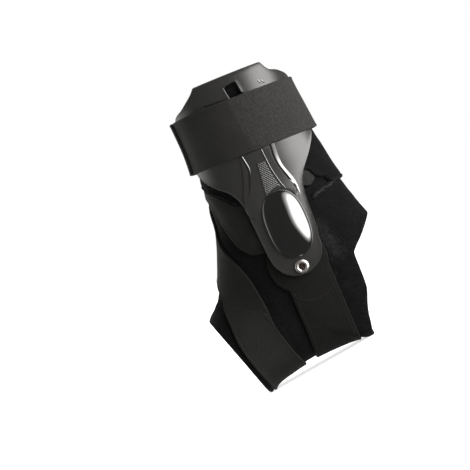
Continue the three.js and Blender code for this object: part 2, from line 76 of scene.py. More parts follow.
DOME_TILT = 7.5
DOME_RIM = 0.8
DOME_SQUARE = 2.5
DOME_CROWN = 1.35
DOME_FOOT = (1.035, 1.02)  # how far the dome's foot stands out past its crown
RIVET_RADIUS = 5.6
RIVET_SHANK_RADIUS = 3.0
RIVET_HOLE_RADIUS = 1.8
RIVET_DEPTH = 3.6
SIDES = (("medial", -1), ("lateral", 1))

# Heights of the layers above the inner form
CLOTH_BOTTOM = SLEEVE_WALL + GAP
CLOTH_TOP = CLOTH_BOTTOM + PAD_THICKNESS
SHELL_BOTTOM = CLOTH_TOP + GAP
SHELL_TOP = SHELL_BOTTOM + SHELL_WALL
WRAP_BOTTOM = SHELL_TOP + GAP
WRAP_TOP = WRAP_BOTTOM + STRAP_THICKNESS
END_BOTTOM = WRAP_TOP + GAP

# Sections of the inner form from its top to the toe edge: the front and back ends in the side view, as X
# in shares of the depth and Z in shares of the height, the width across, where it is widest, how boxy it is
FORM = (
    # front x, front z, back x, back z, width, middle, square
    (0.020, 1.051, 0.566, 1.004, 1.02 * CALF_WIDTH, 0.50, 2.1),
    (0.005, 0.934, 0.530, 0.885, 0.98 * CALF_WIDTH, 0.52, 2.1),
    (-0.012, 0.817, 0.523, 0.770, 0.92 * CALF_WIDTH, 0.54, 2.0),
    (-0.047, 0.706, 0.520, 0.660, 0.85 * CALF_WIDTH, 0.56, 1.9),
    (-0.082, 0.626, 0.526, 0.566, 0.91 * ANKLE_WIDTH, 0.58, 1.8),
    (-0.102, 0.562, 0.539, 0.481, 0.94 * ANKLE_WIDTH, 0.60, 1.8),
    (-0.141, 0.502, 0.553, 0.413, 0.99 * ANKLE_WIDTH, 0.60, 1.9),
    (-0.181, 0.453, 0.576, 0.340, 1.02 * ANKLE_WIDTH, 0.58, 2.1),
    (-0.217, 0.411, 0.605, 0.213, 1.02 * ANKLE_WIDTH, 0.54, 2.3),
    (-0.247, 0.379, 0.566, 0.085, 1.02 * ANKLE_WIDTH, 0.50, 2.5),
    (-0.273, 0.353, 0.434, 0.019, 0.94 * FOOT_WIDTH, 0.46, 2.7),
    (-0.296, 0.336, 0.303, 0.008, 0.93 * FOOT_WIDTH, 0.42, 3.0),
    (-0.313, 0.328, 0.230, 0.027, 0.93 * FOOT_WIDTH, 0.40, 3.0),
    (-0.329, 0.319, 0.118, 0.038, 0.93 * FOOT_WIDTH, 0.38, 3.0),
    (-0.345, 0.312, -0.013, 0.044, 0.94 * FOOT_WIDTH, 0.36, 3.0),
    (-0.362, 0.305, -0.132, 0.041, 0.96 * FOOT_WIDTH, 0.35, 3.0),
    (-0.377, 0.298, -0.250, 0.031, 0.98 * FOOT_WIDTH, 0.34, 3.0),
    (-0.388, 0.291, -0.306, 0.005, 1.00 * FOOT_WIDTH, 0.34, 3.0),
)
FRONT_SQUARE = 2.1
LAST = len(FORM) - 1
FORM_TABLE = np.array(FORM) * (BRACE_DEPTH, BRACE_HEIGHT, BRACE_DEPTH, BRACE_HEIGHT, 0.5, 1, 1)

# Outlines in the side view, as (x, z) in shares of the depth and height
HEEL_EDGE = (
    (0.311, -0.030), (0.313, 0.002), (0.320, 0.021), (0.351, 0.087), (0.395, 0.146), (0.414, 0.207),
    (0.427, 0.263), (0.450, 0.281), (0.517, 0.311), (0.577, 0.342), (0.640, 0.375),
)
COLLAR_TOP = (
    (-0.200, 0.910), (-0.026, 0.919), (0.053, 0.945), (0.132, 0.979), (0.300, 0.968), (0.460, 0.945),
    (0.526, 0.902), (0.566, 0.864), (0.790, 0.850),
)
COLLAR_EDGE = (
    (-0.200, 0.725), (-0.099, 0.706), (-0.081, 0.677), (-0.032, 0.640), (0.022, 0.593), (0.130, 0.575),
    (0.263, 0.583), (0.412, 0.586), (0.444, 0.555), (0.492, 0.530), (0.527, 0.505), (0.790, 0.505),
)
PAD_EDGE = (
    (-0.101, 0.740), (-0.103, 0.666), (-0.097, 0.591), (-0.094, 0.529), (-0.082, 0.475), (-0.053, 0.440),
    (-0.022, 0.422), (0.066, 0.413), (0.280, 0.447), (0.310, 0.515), (0.362, 0.541), (0.395, 0.532),
    (0.422, 0.538), (0.445, 0.553), (0.434, 0.579), (0.405, 0.640),
)
FOLD = ((0.385, 0.494), (0.410, 0.499), (0.440, 0.500), (0.473, 0.502), (0.500, 0.507), (0.520, 0.514))
PALER_LINE = ((0.330, 0.400), (0.340, 0.350), (0.345, 0.300))

# A shell's edges from the middle of its lobe: up in shares of the rise, out past it in shares of the flare
LOBE_X = 0.168 * BRACE_DEPTH
LOBE_Z = 0.374 * BRACE_HEIGHT
SHELL_BACK = (
    (0.042, 0.059), (0.134, 0.118), (0.229, 0.185), (0.301, 0.285), (0.352, 0.426), (0.410, 0.643),
    (0.469, 0.817), (0.530, 0.910), (0.660, 0.980), (0.815, 1.010), (0.871, 0.903), (0.899, 0.744),
    (0.951, 0.664),
)
SHELL_FRONT = (
    (1.000, -0.367), (0.973, -0.246), (0.936, -0.008), (0.900, 0.208), (0.762, 0.300), (0.618, 0.356),
    (0.548, 0.333), (0.479, 0.205), (0.414, 0.015), (0.327, -0.075), (0.230, -0.054), (0.120, -0.023),
    (0.037, 0.000),
)
# On the shell: up in shares of the rise, side in shares of the flare
TONGUE = (
    (0.600, -0.050), (0.540, -0.080), (0.440, -0.230), (0.360, -0.400), (0.260, -0.470), (0.180, 0.000),
    (0.260, 0.610), (0.360, 0.560), (0.420, 0.525), (0.480, 0.522), (0.540, 0.568), (0.600, 0.600),
)
# The ribs beside the tongue, steep on its side: up, steep edge, thin edge, share of the full height
BACK_FIN = (
    (0.560, 0.590, 0.700, 0.12), (0.521, 0.562, 0.672, 0.12), (0.472, 0.527, 0.634, 0.18),
    (0.421, 0.536, 0.618, 0.36), (0.367, 0.567, 0.652, 0.54), (0.328, 0.588, 0.680, 0.58),
    (0.295, 0.606, 0.682, 0.48), (0.262, 0.624, 0.664, 0.30), (0.239, 0.633, 0.642, 0.10),
)
FRONT_FIN = (
    (0.580, 0.008, -0.040, 0.24), (0.530, 0.014, -0.036, 0.24), (0.484, 0.011, -0.042, 0.20),
    (0.439, -0.057, -0.110, 0.15), (0.396, -0.158, -0.200, 0.12), (0.355, -0.253, -0.275, 0.10),
)
HATCH = (
    (0.493, 0.172), (0.484, 0.350), (0.432, 0.338), (0.367, 0.350), (0.325, 0.372), (0.333, 0.279),
    (0.325, 0.140), (0.305, -0.004), (0.365, 0.052), (0.435, 0.120),
)
BACK_RIB = ((0.560, 0.400), (0.493, 0.384), (0.440, 0.373), (0.376, 0.386), (0.328, 0.408), (0.298, 0.440))
SLOT_LINE = ((0.853, 0.300), (0.864, 0.097), (0.880, -0.170))
MOULDED_BARS = (((0.872, 1.010), (0.846, 1.040)), ((0.864, 1.075), (0.838, 1.105)))

WINDOW_X = 0.290 * BRACE_DEPTH
WINDOW_TOP = 0.949 * BRACE_HEIGHT
RIVET_X = LOBE_X - 2
RIVET_Z = LOBE_Z - 14
DOME_X = LOBE_X + 4.3
DOME_Z = LOBE_Z + 20
TOP_STRAP_X = 0.257 * BRACE_DEPTH
TOP_STRAP_Z = 0.815 * BRACE_HEIGHT
TOP_STRAP_TILT = 8.0
# Where the loop face starts is also where the painted light on the top strap starts.
LOOPS_FROM = 0.067  # metres round the top strap from the front to where its loop face shows
STRAP_END_FRONT = 9.0
STRAP_END_BACK = 0.23 * BRACE_DEPTH
BAND_TILT = 6.6
BAND_HEM = 3.0
BAND_X = LOBE_X + 1.5
BAND_END_X = LOBE_X - 3
BAND_END_Z = LOBE_Z - 9
ARC_Z = LOBE_Z - 20.4
ARC_RADIUS = 21.3
BAR_TACK = (-19.4, 49.6, 56.6)  # x, and z from and to

# Lower strap's middle line, from the sole's outer edge over the inner side and the front, as (row, turn)
LOWER_STRAP = (
    (15.35, 225), (15.35, 180), (15.30, 130), (15.15, 105), (14.70, 80), (13.70, 63), (11.30, 46),
    (9.20, 35), (7.90, 23), (7.10, 9), (6.60, 0), (5.70, -13), (4.90, -25), (3.75, -46), (2.75, -68),
    (2.20, -80),
)
ABOVE_STRAP = (-1.0, 18.0)

# The photograph's view, in metres and degrees: the brace is tilted in it, so the camera is rolled
CAMERA_ROLL = 29.77
CAMERA_DISTANCE = 2.4
VIEW_WIDTH = 0.3666
VIEW_MIDDLE = (-0.0240, -0.010, 0.1205)

# The studio's lights: towards where, and the cosines of the angles at which each starts and is full
GLOWS = (
    ("key", (0.910, -0.390, 0.140), 0.72, 0.92),
    ("lamp", (0.900, -0.420, 0.100), 0.83, 0.94),
    ("fill", (-0.55, 0.75, 0.35), 0.40, 0.90),
)


def catmull(table, place):
    """Points on a smooth curve through a table's rows, at places counted in rows."""
    table = np.asarray(table, float)
    place = np.asarray(place, float)
    last = len(table) - 1
    row = np.clip(np.floor(place), 0, last - 1).astype(int)
    share = (place - row)[..., None]
    a, b, c, d = (table[np.clip(row + step, 0, last)] for step in (-1, 0, 1, 2))
    straight = 2 * b + (c - a) * share
    curved = (2 * a - 5 * b + 4 * c - d) * share**2 + (3 * b - a - 3 * c + d) * share**3
    return 0.5 * (straight + curved)


def smooth(rows, steps=6):
    """The smooth curve through some rows as points, with this many steps for each row."""
    return catmull(rows, np.linspace(0, len(rows) - 1, (len(rows) - 1) * steps + 1))


def unit(vectors):
    return vectors / np.linalg.norm(vectors, axis=-1, keepdims=True)


def lengths(line):
    """How far along a line of points each of them is."""
    return np.concatenate([[0], np.linalg.norm(np.diff(line, axis=0), axis=1).cumsum()])


def between_steps(where, steps, rows):
    """Rows at places along a line, from those that are known at steps along it."""
    return np.stack([np.interp(where, steps, column) for column in rows.T], -1)


def inner_form(at, turn):
    """Points of the inner form at a row and a turn in degrees, 0 in front and 90 on the inner side."""
    at, turn = np.broadcast_arrays(np.asarray(at, float), np.asarray(turn, float))
    columns = np.moveaxis(catmull(FORM_TABLE, at), -1, 0)
    front_x, front_z, back_x, back_z, half_width, middle, square = columns
    cos, sin = np.cos(np.radians(turn)), np.sin(np.radians(turn))
    power = np.where(cos > 0, FRONT_SQUARE, square)
    radius = (np.abs(cos) ** power + np.abs(sin) ** power) ** (-1 / power)
    share = middle + radius * cos * np.where(cos > 0, 1 - middle, middle)
    x = back_x + (front_x - back_x) * share
    z = back_z + (front_z - back_z) * share
    return np.stack([x, -radius * sin * half_width, z], -1)


def outward(at, turn):
    """The form's direction outwards at places."""
    along = inner_form(at + 0.05, turn) - inner_form(at - 0.05, turn)
    around = inner_form(at, turn + 0.5) - inner_form(at, turn - 0.5)
    return unit(np.cross(along, around))


def raised(at, turn, height):
    """Points at a height above the inner form."""
    return inner_form(at, turn) + outward(at, turn) * np.asarray(height, float)[..., None]


def lengths_table():
    """How far round and how far down the places of a grid over the form are, in millimetres."""
    rows, turns = np.arange(0, LAST + 0.01, 0.25), np.arange(-180, 180.1, 4)
    point = raised(rows[:, None], turns[None, :], CLOTH_TOP)
    around = np.linalg.norm(np.diff(point, axis=1), axis=-1).cumsum(axis=1)
    down = np.linalg.norm(np.diff(point, axis=0), axis=-1).cumsum(axis=0)
    around = np.pad(around, ((0, 0), (1, 0)))
    around -= around[:, [len(turns) // 2]]
    return around, np.pad(down, ((1, 0), (0, 0)))


AROUND, DOWN = lengths_table()


def measured(table, at, turn):
    """A value of that grid between its places."""
    row = np.clip(np.asarray(at) / 0.25, 0, table.shape[0] - 1.001)
    place = np.clip((np.asarray(turn) + 180) / 4, 0, table.shape[1] - 1.001)
    i, j = np.floor(row).astype(int), np.floor(place).astype(int)
    u, v = row - i, place - j
    upper = table[i, j] * (1 - v) + table[i, j + 1] * v
    lower = table[i + 1, j] * (1 - v) + table[i + 1, j + 1] * v
    return upper * (1 - u) + lower * u


def even_rows(first, last, cell):
    """Rows of the form about a cell apart."""
    at = np.linspace(first, last, 400)
    length = sum(measured(DOWN, at, turn) for turn in (45, 90, 180, 180)) / 4
    count = max(int((length[-1] - length[0]) / cell), 4)
    return np.interp(np.linspace(length[0], length[-1], count + 1), length, at)


# Places to start from when one is looked for
GUESS_GRID = np.meshgrid(np.arange(0.2, LAST, 0.25), np.arange(4.0, 180, 4))
GUESS_AT, GUESS_TURN = (grid.ravel() for grid in GUESS_GRID)
GUESS_POINT = inner_form(GUESS_AT, GUESS_TURN)[:, [0, 2]]


def locate(flat, height):
    """Rows and turns on the inner side whose raised points have these places (x, z) in the side view."""
    flat = np.asarray(flat, float)
    miss = ((flat[:, None, :] - GUESS_POINT[None]) ** 2).sum(-1)
    nearest = miss.argmin(axis=1)
    at, turn = GUESS_AT[nearest], GUESS_TURN[nearest]
    for _ in range(14):
        here = raised(at, turn, height)
        down = (raised(at + 0.05, turn, height) - here) / 0.05
        back = (raised(at, turn + 0.5, height) - here) / 0.5
        miss_x, miss_z = flat[:, 0] - here[:, 0], flat[:, 1] - here[:, 2]
        size = down[:, 0] * back[:, 2] - back[:, 0] * down[:, 2]
        at = at + np.clip((miss_x * back[:, 2] - back[:, 0] * miss_z) / size, -0.5, 0.5)
        turn = turn + np.clip((down[:, 0] * miss_z - miss_x * down[:, 2]) / size, -8, 8)
    return at, turn


def side_view(point):
    """Where points are in the side view, as x and z."""
    return point[..., 0], point[..., 2]


def in_form(rows):
    """Rows of shares of the depth and height as places of the side view, in the form's own millimetres."""
    return [(x * BRACE_DEPTH, z * BRACE_HEIGHT) for x, z in rows]


def on_shell(rows):
    """Rows of a shell's own shares as places of the side view."""
    return [(LOBE_X + side * CUFF_FLARE, LOBE_Z + up * SHELL_RISE) for up, side in rows]


def disc(x, z, radius, sides=48):
    angle = np.linspace(0, 2 * math.pi, sides, endpoint=False)
    return np.stack([x + radius * np.cos(angle), z + radius * np.sin(angle)], -1)


def box(x, z, width, height):
    corners = np.array(((-1, -1), (1, -1), (1, 1), (-1, 1)))
    return corners * (width / 2, height / 2) + (x, z)


def turned(outline, x, z, degrees):
    """An outline turned about a place of the side view."""
    cos, sin = math.cos(math.radians(degrees)), math.sin(math.radians(degrees))
    offset = np.asarray(outline, float) - (x, z)
    return offset @ np.array([[cos, sin], [-sin, cos]]) + (x, z)


def distance(line, x, z, closed=False):
    """How far points of the side view are from a line of points."""
    start = np.asarray(line, float)
    end = np.roll(start, -1, axis=0)
    if not closed:
        start, end = start[:-1], end[:-1]
    best = np.full(np.shape(x), np.inf)
    for (ax, az), (bx, bz) in zip(start, end):
        ex, ez = bx - ax, bz - az
        share = np.clip(((x - ax) * ex + (z - az) * ez) / (ex * ex + ez * ez + 1e-12), 0, 1)
        best = np.minimum(best, np.hypot(x - ax - share * ex, z - az - share * ez))
    return best


def inside(outline, x, z):
    """The distance from a closed outline, positive inside it and negative outside."""
    odd = np.zeros(np.shape(x), bool)
    points = np.asarray(outline, float)
    for (ax, az), (bx, bz) in zip(points, np.roll(points, -1, axis=0)):
        if az == bz:
            continue
        crosses = ((az > z) != (bz > z)) & (x < (bx - ax) * (z - az) / (bz - az) + ax)
        odd ^= crosses
    gap = distance(points, x, z, closed=True)
    return np.where(odd, gap, -gap)


COLLAR_TOP_LINE = smooth(in_form(COLLAR_TOP))
COLLAR_OUTLINE = np.concatenate([smooth(in_form(COLLAR_EDGE)), COLLAR_TOP_LINE[::-1]])
HEEL_OUTLINE = np.concatenate([smooth(in_form(HEEL_EDGE)), in_form([(2, 0.4), (2, -0.5), (0.311, -0.5)])])
ABOVE_OUTLINE = np.concatenate([COLLAR_TOP_LINE, in_form([(2, 2), (-1, 2), (-1, COLLAR_TOP[0][1])])])
PAD_OUTLINE = smooth(in_form(PAD_EDGE))
TONGUE_OUTLINE = smooth(on_shell(TONGUE))
SLOT = smooth(on_shell(SLOT_LINE))
DOME_DISC = disc(0, 0, 1)


def reach(angle):
    """How far the dome's outline reaches, where a circle's would be 1."""
    return (np.abs(np.cos(angle)) ** DOME_SQUARE + np.abs(np.sin(angle)) ** DOME_SQUARE) ** (-1 / DOME_SQUARE)


def dome_outline():
    """The dome's foot in the side view."""
    size = (DOME_WIDTH / 2, DOME_LENGTH / 2)
    angle = np.arctan2(DOME_DISC[:, 1], DOME_DISC[:, 0])
    return turned(DOME_DISC * reach(angle)[:, None] * size + (DOME_X, DOME_Z), DOME_X, DOME_Z, -DOME_TILT)


def shell_outline():
    """A shell's outline: the round lobe, up the back edge, over the top and down the front edge."""
    angle = np.linspace(math.pi, 2 * math.pi, 33)
    bottom = np.stack([LOBE_X + LOBE_RADIUS * np.cos(angle), LOBE_Z + LOBE_RADIUS * np.sin(angle)], -1)

    def edge(rows, side):
        return smooth([
            (LOBE_X + side * (LOBE_RADIUS + out * CUFF_FLARE), LOBE_Z + up * SHELL_RISE) for up, out in rows
        ])

    return np.concatenate([bottom, edge(SHELL_BACK, 1), edge(SHELL_FRONT, -1)])


DOME_OUTLINE = dome_outline()
SHELL_OUTLINE = shell_outline()
WINDOW_OUTLINE = box(WINDOW_X, WINDOW_TOP - WINDOW_HEIGHT / 2, WINDOW_WIDTH, WINDOW_HEIGHT)


def across_strap(x, z):
    """How far a point is from the top strap's middle line, upwards."""
    tilt = math.radians(TOP_STRAP_TILT)
    return (x - TOP_STRAP_X) * math.sin(tilt) + (z - TOP_STRAP_Z) * math.cos(tilt)


def strap_cover(x, z):
    """How far inside the top strap's edges a point is."""
    return TOP_STRAP_WIDTH / 2 - np.abs(across_strap(x, z))


def band_space(x, z):
    """How far inside the stirrup band a point is: a straight run with a round end about the rivet."""
    run = turned(box(BAND_X, LOBE_Z - BRACE_HEIGHT / 2, BAND_WIDTH, BRACE_HEIGHT), BAND_X, LOBE_Z, -BAND_TILT)
    below = RIVET_Z - z
    end = BAND_END_RADIUS - np.hypot(x - BAND_END_X, z - BAND_END_Z)
    return np.maximum(np.minimum(inside(run, x, z), below), end)


def smoothed(places, spread):
    """A line over the form through places, as points, with bends shorter than this evened out."""
    places = catmull(places, np.linspace(0, len(places) - 1, 1200))
    line = raised(places[:, 0], places[:, 1], CLOTH_BOTTOM)
    steps = lengths(line)
    line = between_steps(np.arange(0, steps[-1], 1.0), steps, line)
    end = int(3 * spread)
    weight = np.exp(-0.5 * (np.arange(-end, end + 1) / spread) ** 2)
    weight /= weight.sum()

    def blurred(points):
        before, after = 2 * points[0] - points[end:0:-1], 2 * points[-1] - points[-2:-end - 2:-1]
        longer = np.concatenate([before, points, after])
        return np.stack([np.convolve(column, weight, "valid") for column in longer.T], -1)

    low = blurred(line)
    return (2 * low - blurred(low))[::2]


def beside(line, point):
    """For points: how far from a line in space, how far along it, and how far to its left or right."""
    flat = point.reshape(-1, 3)
    best = np.full(len(flat), np.inf)
    along, side = np.zeros(len(flat)), np.zeros(len(flat))
    upright = unit(flat - flat.mean(axis=0))
    start_length = 0.0
    last = len(line) - 2
    for index, (start, end) in enumerate(zip(line[:-1], line[1:])):
        step = end - start
        length = np.linalg.norm(step)
        free = (flat - start) @ step / length**2
        share = np.clip(free, 0, 1)
        away = flat - start - share[:, None] * step
        gap = np.linalg.norm(away, axis=1)
        nearer = gap < best
        best = np.where(nearer, gap, best)
        reached = np.clip(free, -9 if index == 0 else 0, 9 if index == last else 1)
        along = np.where(nearer, start_length + reached * length, along)
        turning = np.sign((np.cross(step, away) * upright).sum(axis=1))
        side = np.where(nearer, gap * turning, side)
        start_length += length
    shape = point.shape[:-1]
    return best.reshape(shape), along.reshape(shape), side.reshape(shape)


def strap_depth(line, point):
    """How far inside the lower strap, or one along another line, points are."""
    gap, along, _ = beside(line, point)
    return np.minimum.reduce([LOWER_STRAP_WIDTH / 2 - gap, along, lengths(line)[-1] - along])


STRAP_LINE = smoothed(LOWER_STRAP, 9)
ABOVE_LINE = smoothed(np.array(LOWER_STRAP) + ABOVE_STRAP, 9)


def rounded(depth, radius):
    """A rounded edge: 0 at the edge, 1 from this far inside."""
    return np.sqrt(1 - (1 - np.clip(depth / radius, 0, 1)) ** 2)


def soft_edge(depth, radius, rim=0.3):
    """The share of a layer's thickness at a rounded edge, from the rim's share to 1."""
    return rim + (1 - rim) * rounded(depth, radius)


def ridge(depth, middle, width):
    """A low ridge along an edge: 1 at this depth and fading over this width."""
    return np.exp(-((depth - middle) / width) ** 2)


def ramp(value, low, high):
    """A smooth step from 0 to 1."""
    share = np.clip((value - low) / (high - low), 0, 1)
    return share * share * (3 - 2 * share)


class Region:
    """Part of the form as triangles: places (row, turn), the distance inside its edge, and faces."""

    STEPS = (0.03, 0.4)  # in rows and degrees, to measure how a distance changes

    def __init__(self, edge, rows, turns, cell, rings=(), creases=()):
        """edge gives the distance inside for points. Faces follow the rings, which are distances inside, and
        the creases, which are pairs of a field and its levels."""
        at = even_rows(*rows, cell)
        circle = 290 * (turns[1] - turns[0]) / 360
        turn = np.linspace(*turns, max(int(circle / cell), 8) + 1)
        self.closed = turns[1] - turns[0] >= 360
        grid = np.meshgrid(at, turn, indexing="ij")
        self.places = np.stack(grid, -1).reshape(-1, 2)
        self.fixed = np.isin(self.places[:, 1], turns)
        self.kept = self.fixed.copy()
        self.edge = edge
        self.depth, _ = self.distances(self.places)
        count = len(turn)
        corner = (np.arange(len(at) - 1)[:, None] * count + np.arange(count - 1)).ravel()
        below, beside, across = corner + count, corner + 1, corner + count + 1
        even = (corner // count + corner % count) % 2 == 0

        def halves(of_even, of_odd):
            return np.where(even[:, None], np.stack(of_even, -1), np.stack(of_odd, -1))

        self.faces = np.concatenate([
            halves((corner, below, across), (corner, below, beside)),
            halves((corner, across, beside), (beside, below, across)),
        ])
        self.faces = self.faces[(self.depth[self.faces] > -2 * cell).any(axis=1)]
        self.cut("depth", 0.0)
        self.faces = self.faces[(self.depth[self.faces] > -1e-9).all(axis=1)]
        self.tidy()
        self.settle(0.0)
        for ring in rings:
            self.cut("depth", ring)
            self.settle(ring)
        for field, levels in creases:
            self.crease = field(self.points(SHELL_TOP))
            for level in levels:
                self.cut("crease", level)
        self.tidy()

    def distances(self, places):
        """The distance inside the edge, along the surface, and the move of a place that adds 1 mm to it."""
        at, turn = places[:, 0], places[:, 1]
        row_step, turn_step = self.STEPS

        def sample(at, turn):
            point = raised(at, turn, CLOTH_TOP)
            return self.edge(point, at, turn), point

        depth, point = sample(at, turn)
        lower, lower_point = sample(at + row_step, turn)
        beside, beside_point = sample(at, turn + turn_step)
        depth_at, depth_turn = (lower - depth) / row_step, (beside - depth) / turn_step
        along, around = (lower_point - point) / row_step, (beside_point - point) / turn_step
        e, f, g = (along**2).sum(-1), (along * around).sum(-1), (around**2).sum(-1)
        area = e * g - f * f
        slope = (g * depth_at**2 - 2 * f * depth_at * depth_turn + e * depth_turn**2) / area
        slope = np.clip(slope, 0.08, 1.5)
        move = np.stack([g * depth_at - f * depth_turn, e * depth_turn - f * depth_at], -1)
        return depth / np.sqrt(slope), move / (area * np.sqrt(slope))[:, None]

    def settle(self, level):
        """Moves the places of a level onto it exactly, and measures the others again."""
        on_level = (np.abs(self.depth - level) < 1e-9) & ~self.fixed
        for _ in range(2):
            depth, move = self.distances(self.places[on_level])
            self.places[on_level] += np.clip((level - depth)[:, None] * move, (-0.06, -0.8), (0.06, 0.8))
        free = self.depth > level + 1e-9
        self.depth[free] = np.maximum(self.distances(self.places[free])[0], level + 0.01)

    def points(self, height):
        """Its places as points at a height above the inner form."""
        return raised(self.places[:, 0], self.places[:, 1], height)

    def crossings(self, value, level):
        """The edges of faces that cross a level of a value."""
        edges = np.concatenate([self.faces[:, pair] for pair in ([0, 1], [1, 2], [2, 0])])
        edges = np.unique(np.sort(edges, axis=1), axis=0)
        away = value[edges] - level
        return edges[away[:, 0] * away[:, 1] < 0]

    def cut(self, name, level, snap=0.22):
        """Splits the faces along a level of a value, moving the nearest corners onto it."""
        value = getattr(self, name)
        edges = self.crossings(value, level)
        if not len(edges):
            return
        share = (level - value[edges[:, 0]]) / (value[edges[:, 1]] - value[edges[:, 0]])
        near = np.where(share < 0.5, edges[:, 0], edges[:, 1])
        far = np.where(share < 0.5, edges[:, 1], edges[:, 0])
        little = np.minimum(share, 1 - share)
        order = np.argsort(little)
        _, first = np.unique(near[order], return_index=True)
        for pick in order[first]:
            if little[pick] < snap and not self.kept[near[pick]]:
                a, b, part = near[pick], far[pick], little[pick]
                self.places[a] += part * (self.places[b] - self.places[a])
                if name != "depth":
                    self.depth[a] += part * (self.depth[b] - self.depth[a])
                value[a] = level
                self.kept[a] = True
        edges = self.crossings(value, level)
        share = (level - value[edges[:, 0]]) / (value[edges[:, 1]] - value[edges[:, 0]])
        count = len(self.places)
        new_places = {(a, b): count + index for index, (a, b) in enumerate(edges.tolist())}

        def between(rows):
            part = share[:, None] if rows.ndim > 1 else share
            first, second = rows[edges[:, 0]], rows[edges[:, 1]]
            return np.concatenate([rows, first + part * (second - first)])

        both = self.fixed[edges].all(axis=1)
        self.places, self.depth = between(self.places), between(self.depth)
        self.fixed = np.concatenate([self.fixed, both])
        self.kept = np.concatenate([self.kept, np.ones(len(edges), bool)])
        if name != "depth":
            self.crease = between(value)
        getattr(self, name)[count:] = level
        side = np.sign(value - level)
        mixed = (side[self.faces].min(axis=1) < 0) & (side[self.faces].max(axis=1) > 0)
        found = []
        for face in self.faces[mixed].tolist():
            above, below = [], []
            for a, b in zip(face, face[1:] + face[:1]):
                if side[a] >= 0:
                    above.append(a)
                if side[a] <= 0:
                    below.append(a)
                if side[a] * side[b] < 0:
                    middle = new_places[(min(a, b), max(a, b))]
                    above.append(middle)
                    below.append(middle)
            for part in (above, below):
                found += [(part[0], part[i], part[i + 1]) for i in range(1, len(part) - 1)]
        self.faces = np.concatenate([self.faces[~mixed], np.array(found, int).reshape(-1, 3)])

    def tidy(self):
        """Leaves only the places that faces use."""
        used, index = np.unique(self.faces, return_inverse=True)
        self.places, self.depth = self.places[used], self.depth[used]
        self.fixed, self.kept = self.fixed[used], self.kept[used]
        self.faces = index.reshape(-1, 3)

    def uv(self):
        """Metres round and down the form."""
        at, turn = self.places[:, 0], self.places[:, 1]
        return np.stack([measured(AROUND, at, turn), measured(DOWN, at, turn)], -1) * MM

    def area(self, height):
        """Its area in square metres, at a height above the inner form."""
        a, b, c = (self.points(height)[self.faces[:, i]] for i in range(3))
        return float(np.linalg.norm(np.cross(b - a, c - a), axis=1).sum() / 2) * MM * MM


def to_row(point):
    """The form's millimetres as metres in the frame of the row, kept above the floor."""
    moved = (point - (MIDDLE_X, 0, 0)) * MM
    moved[:, 2] = np.maximum(moved[:, 2], 0.0)
    return moved


def closed_mesh(name, outer, inner, faces, seam):
    """A mesh of an outer layer, the same places further in, and a rim between them, but none along a seam."""
    count, corners = len(outer), faces.shape[1]
    sides = np.concatenate([faces[:, [i, (i + 1) % corners]] for i in range(corners)]).tolist()
    known = {(a, b) for a, b in sides}
    open_sides = [(a, b) for a, b in sides if (b, a) not in known and not (seam[a] and seam[b])]
    rim = [(b, a, a + count, b + count) for a, b in open_sides]
    polygons = faces.tolist() + (faces[:, ::-1] + count).tolist() + rim
    mesh = bpy.data.meshes.new(name)
    mesh.from_pydata(np.concatenate([outer, inner]).tolist(), [], polygons)
    return mesh


def added(name, mesh):
    """A new object with this mesh, in the scene."""
    piece = bpy.data.objects.new(name, mesh)
    bpy.context.collection.objects.link(piece)
    return piece


def region_piece(name, region, high, low, worn=None, uv=None):
    """A closed piece of cloth or plastic on the form: outer side, inner side and rim."""
    outer, inner = (to_row(region.points(height)) for height in (high, low))
    mesh = closed_mesh(name, outer, inner, region.faces, region.fixed & region.closed)
    corner = np.empty(len(mesh.loops), int)
    mesh.loops.foreach_get("vertex_index", corner)
    uv = region.uv() if uv is None else uv
    mesh.uv_layers.new(name="UVMap").data.foreach_set("uv", uv[corner % len(uv)].ravel())
    # A value for the velour's paler places and its painted highlight, from 0 to 1.
    if worn is not None:
        mesh.attributes.new("worn", "FLOAT", "POINT").data.foreach_set("value", np.tile(worn, 2))
    mesh.validate()
    if region.closed:
        shape = bmesh.new()
        shape.from_mesh(mesh)
        bmesh.ops.remove_doubles(shape, verts=shape.verts, dist=1e-6)
        shape.to_mesh(mesh)
        shape.free()
    return added(name, mesh)


def grid_faces(rows, columns):
    """The quads of a grid of points."""
    corner = (np.arange(rows - 1)[:, None] * columns + np.arange(columns - 1)).ravel()
    return np.stack([corner, corner + columns, corner + columns + 1, corner + 1], -1)


def select_only(*pieces):
    """Selects only these pieces, the first as the active one."""
    bpy.ops.object.select_all(action="DESELECT")
    for piece in pieces:
        piece.select_set(True)
    bpy.context.view_layer.objects.active = pieces[0]


def finish_piece(piece, materials, node=None):
    """Gives a piece its finish, and ties it to the body that carries it."""
    piece.data.materials.clear()
    for finish in materials:
        piece.data.materials.append(finish)
    select_only(piece)
    bpy.ops.object.shade_smooth_by_angle(angle=math.radians(40))
    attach(piece, "root")
    if node:
        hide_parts(node)


def lay(piece, base, side, relief=None):
    """Lays a piece modelled flat, as x, z and height in metres, on one side of the form at a height."""
    mesh = piece.data
    flat = np.empty(len(mesh.vertices) * 3)
    mesh.vertices.foreach_get("co", flat)
    flat = flat.reshape(-1, 3) / MM
    at, turn = locate(flat[:, :2], base)
    above = relief(flat[:, 0], flat[:, 1]) if relief else 0
    point = to_row(raised(at, turn, base + above + flat[:, 2]))
    if side > 0:
        point[:, 1] *= -1
    mesh.vertices.foreach_set("co", point.ravel())
    if side > 0:
        mesh.flip_normals()
    mesh.update()
    return piece


def active_as(name):
    """The active piece, with this name."""
    piece = bpy.context.object
    piece.name = name
    piece.data.name = name
    return piece


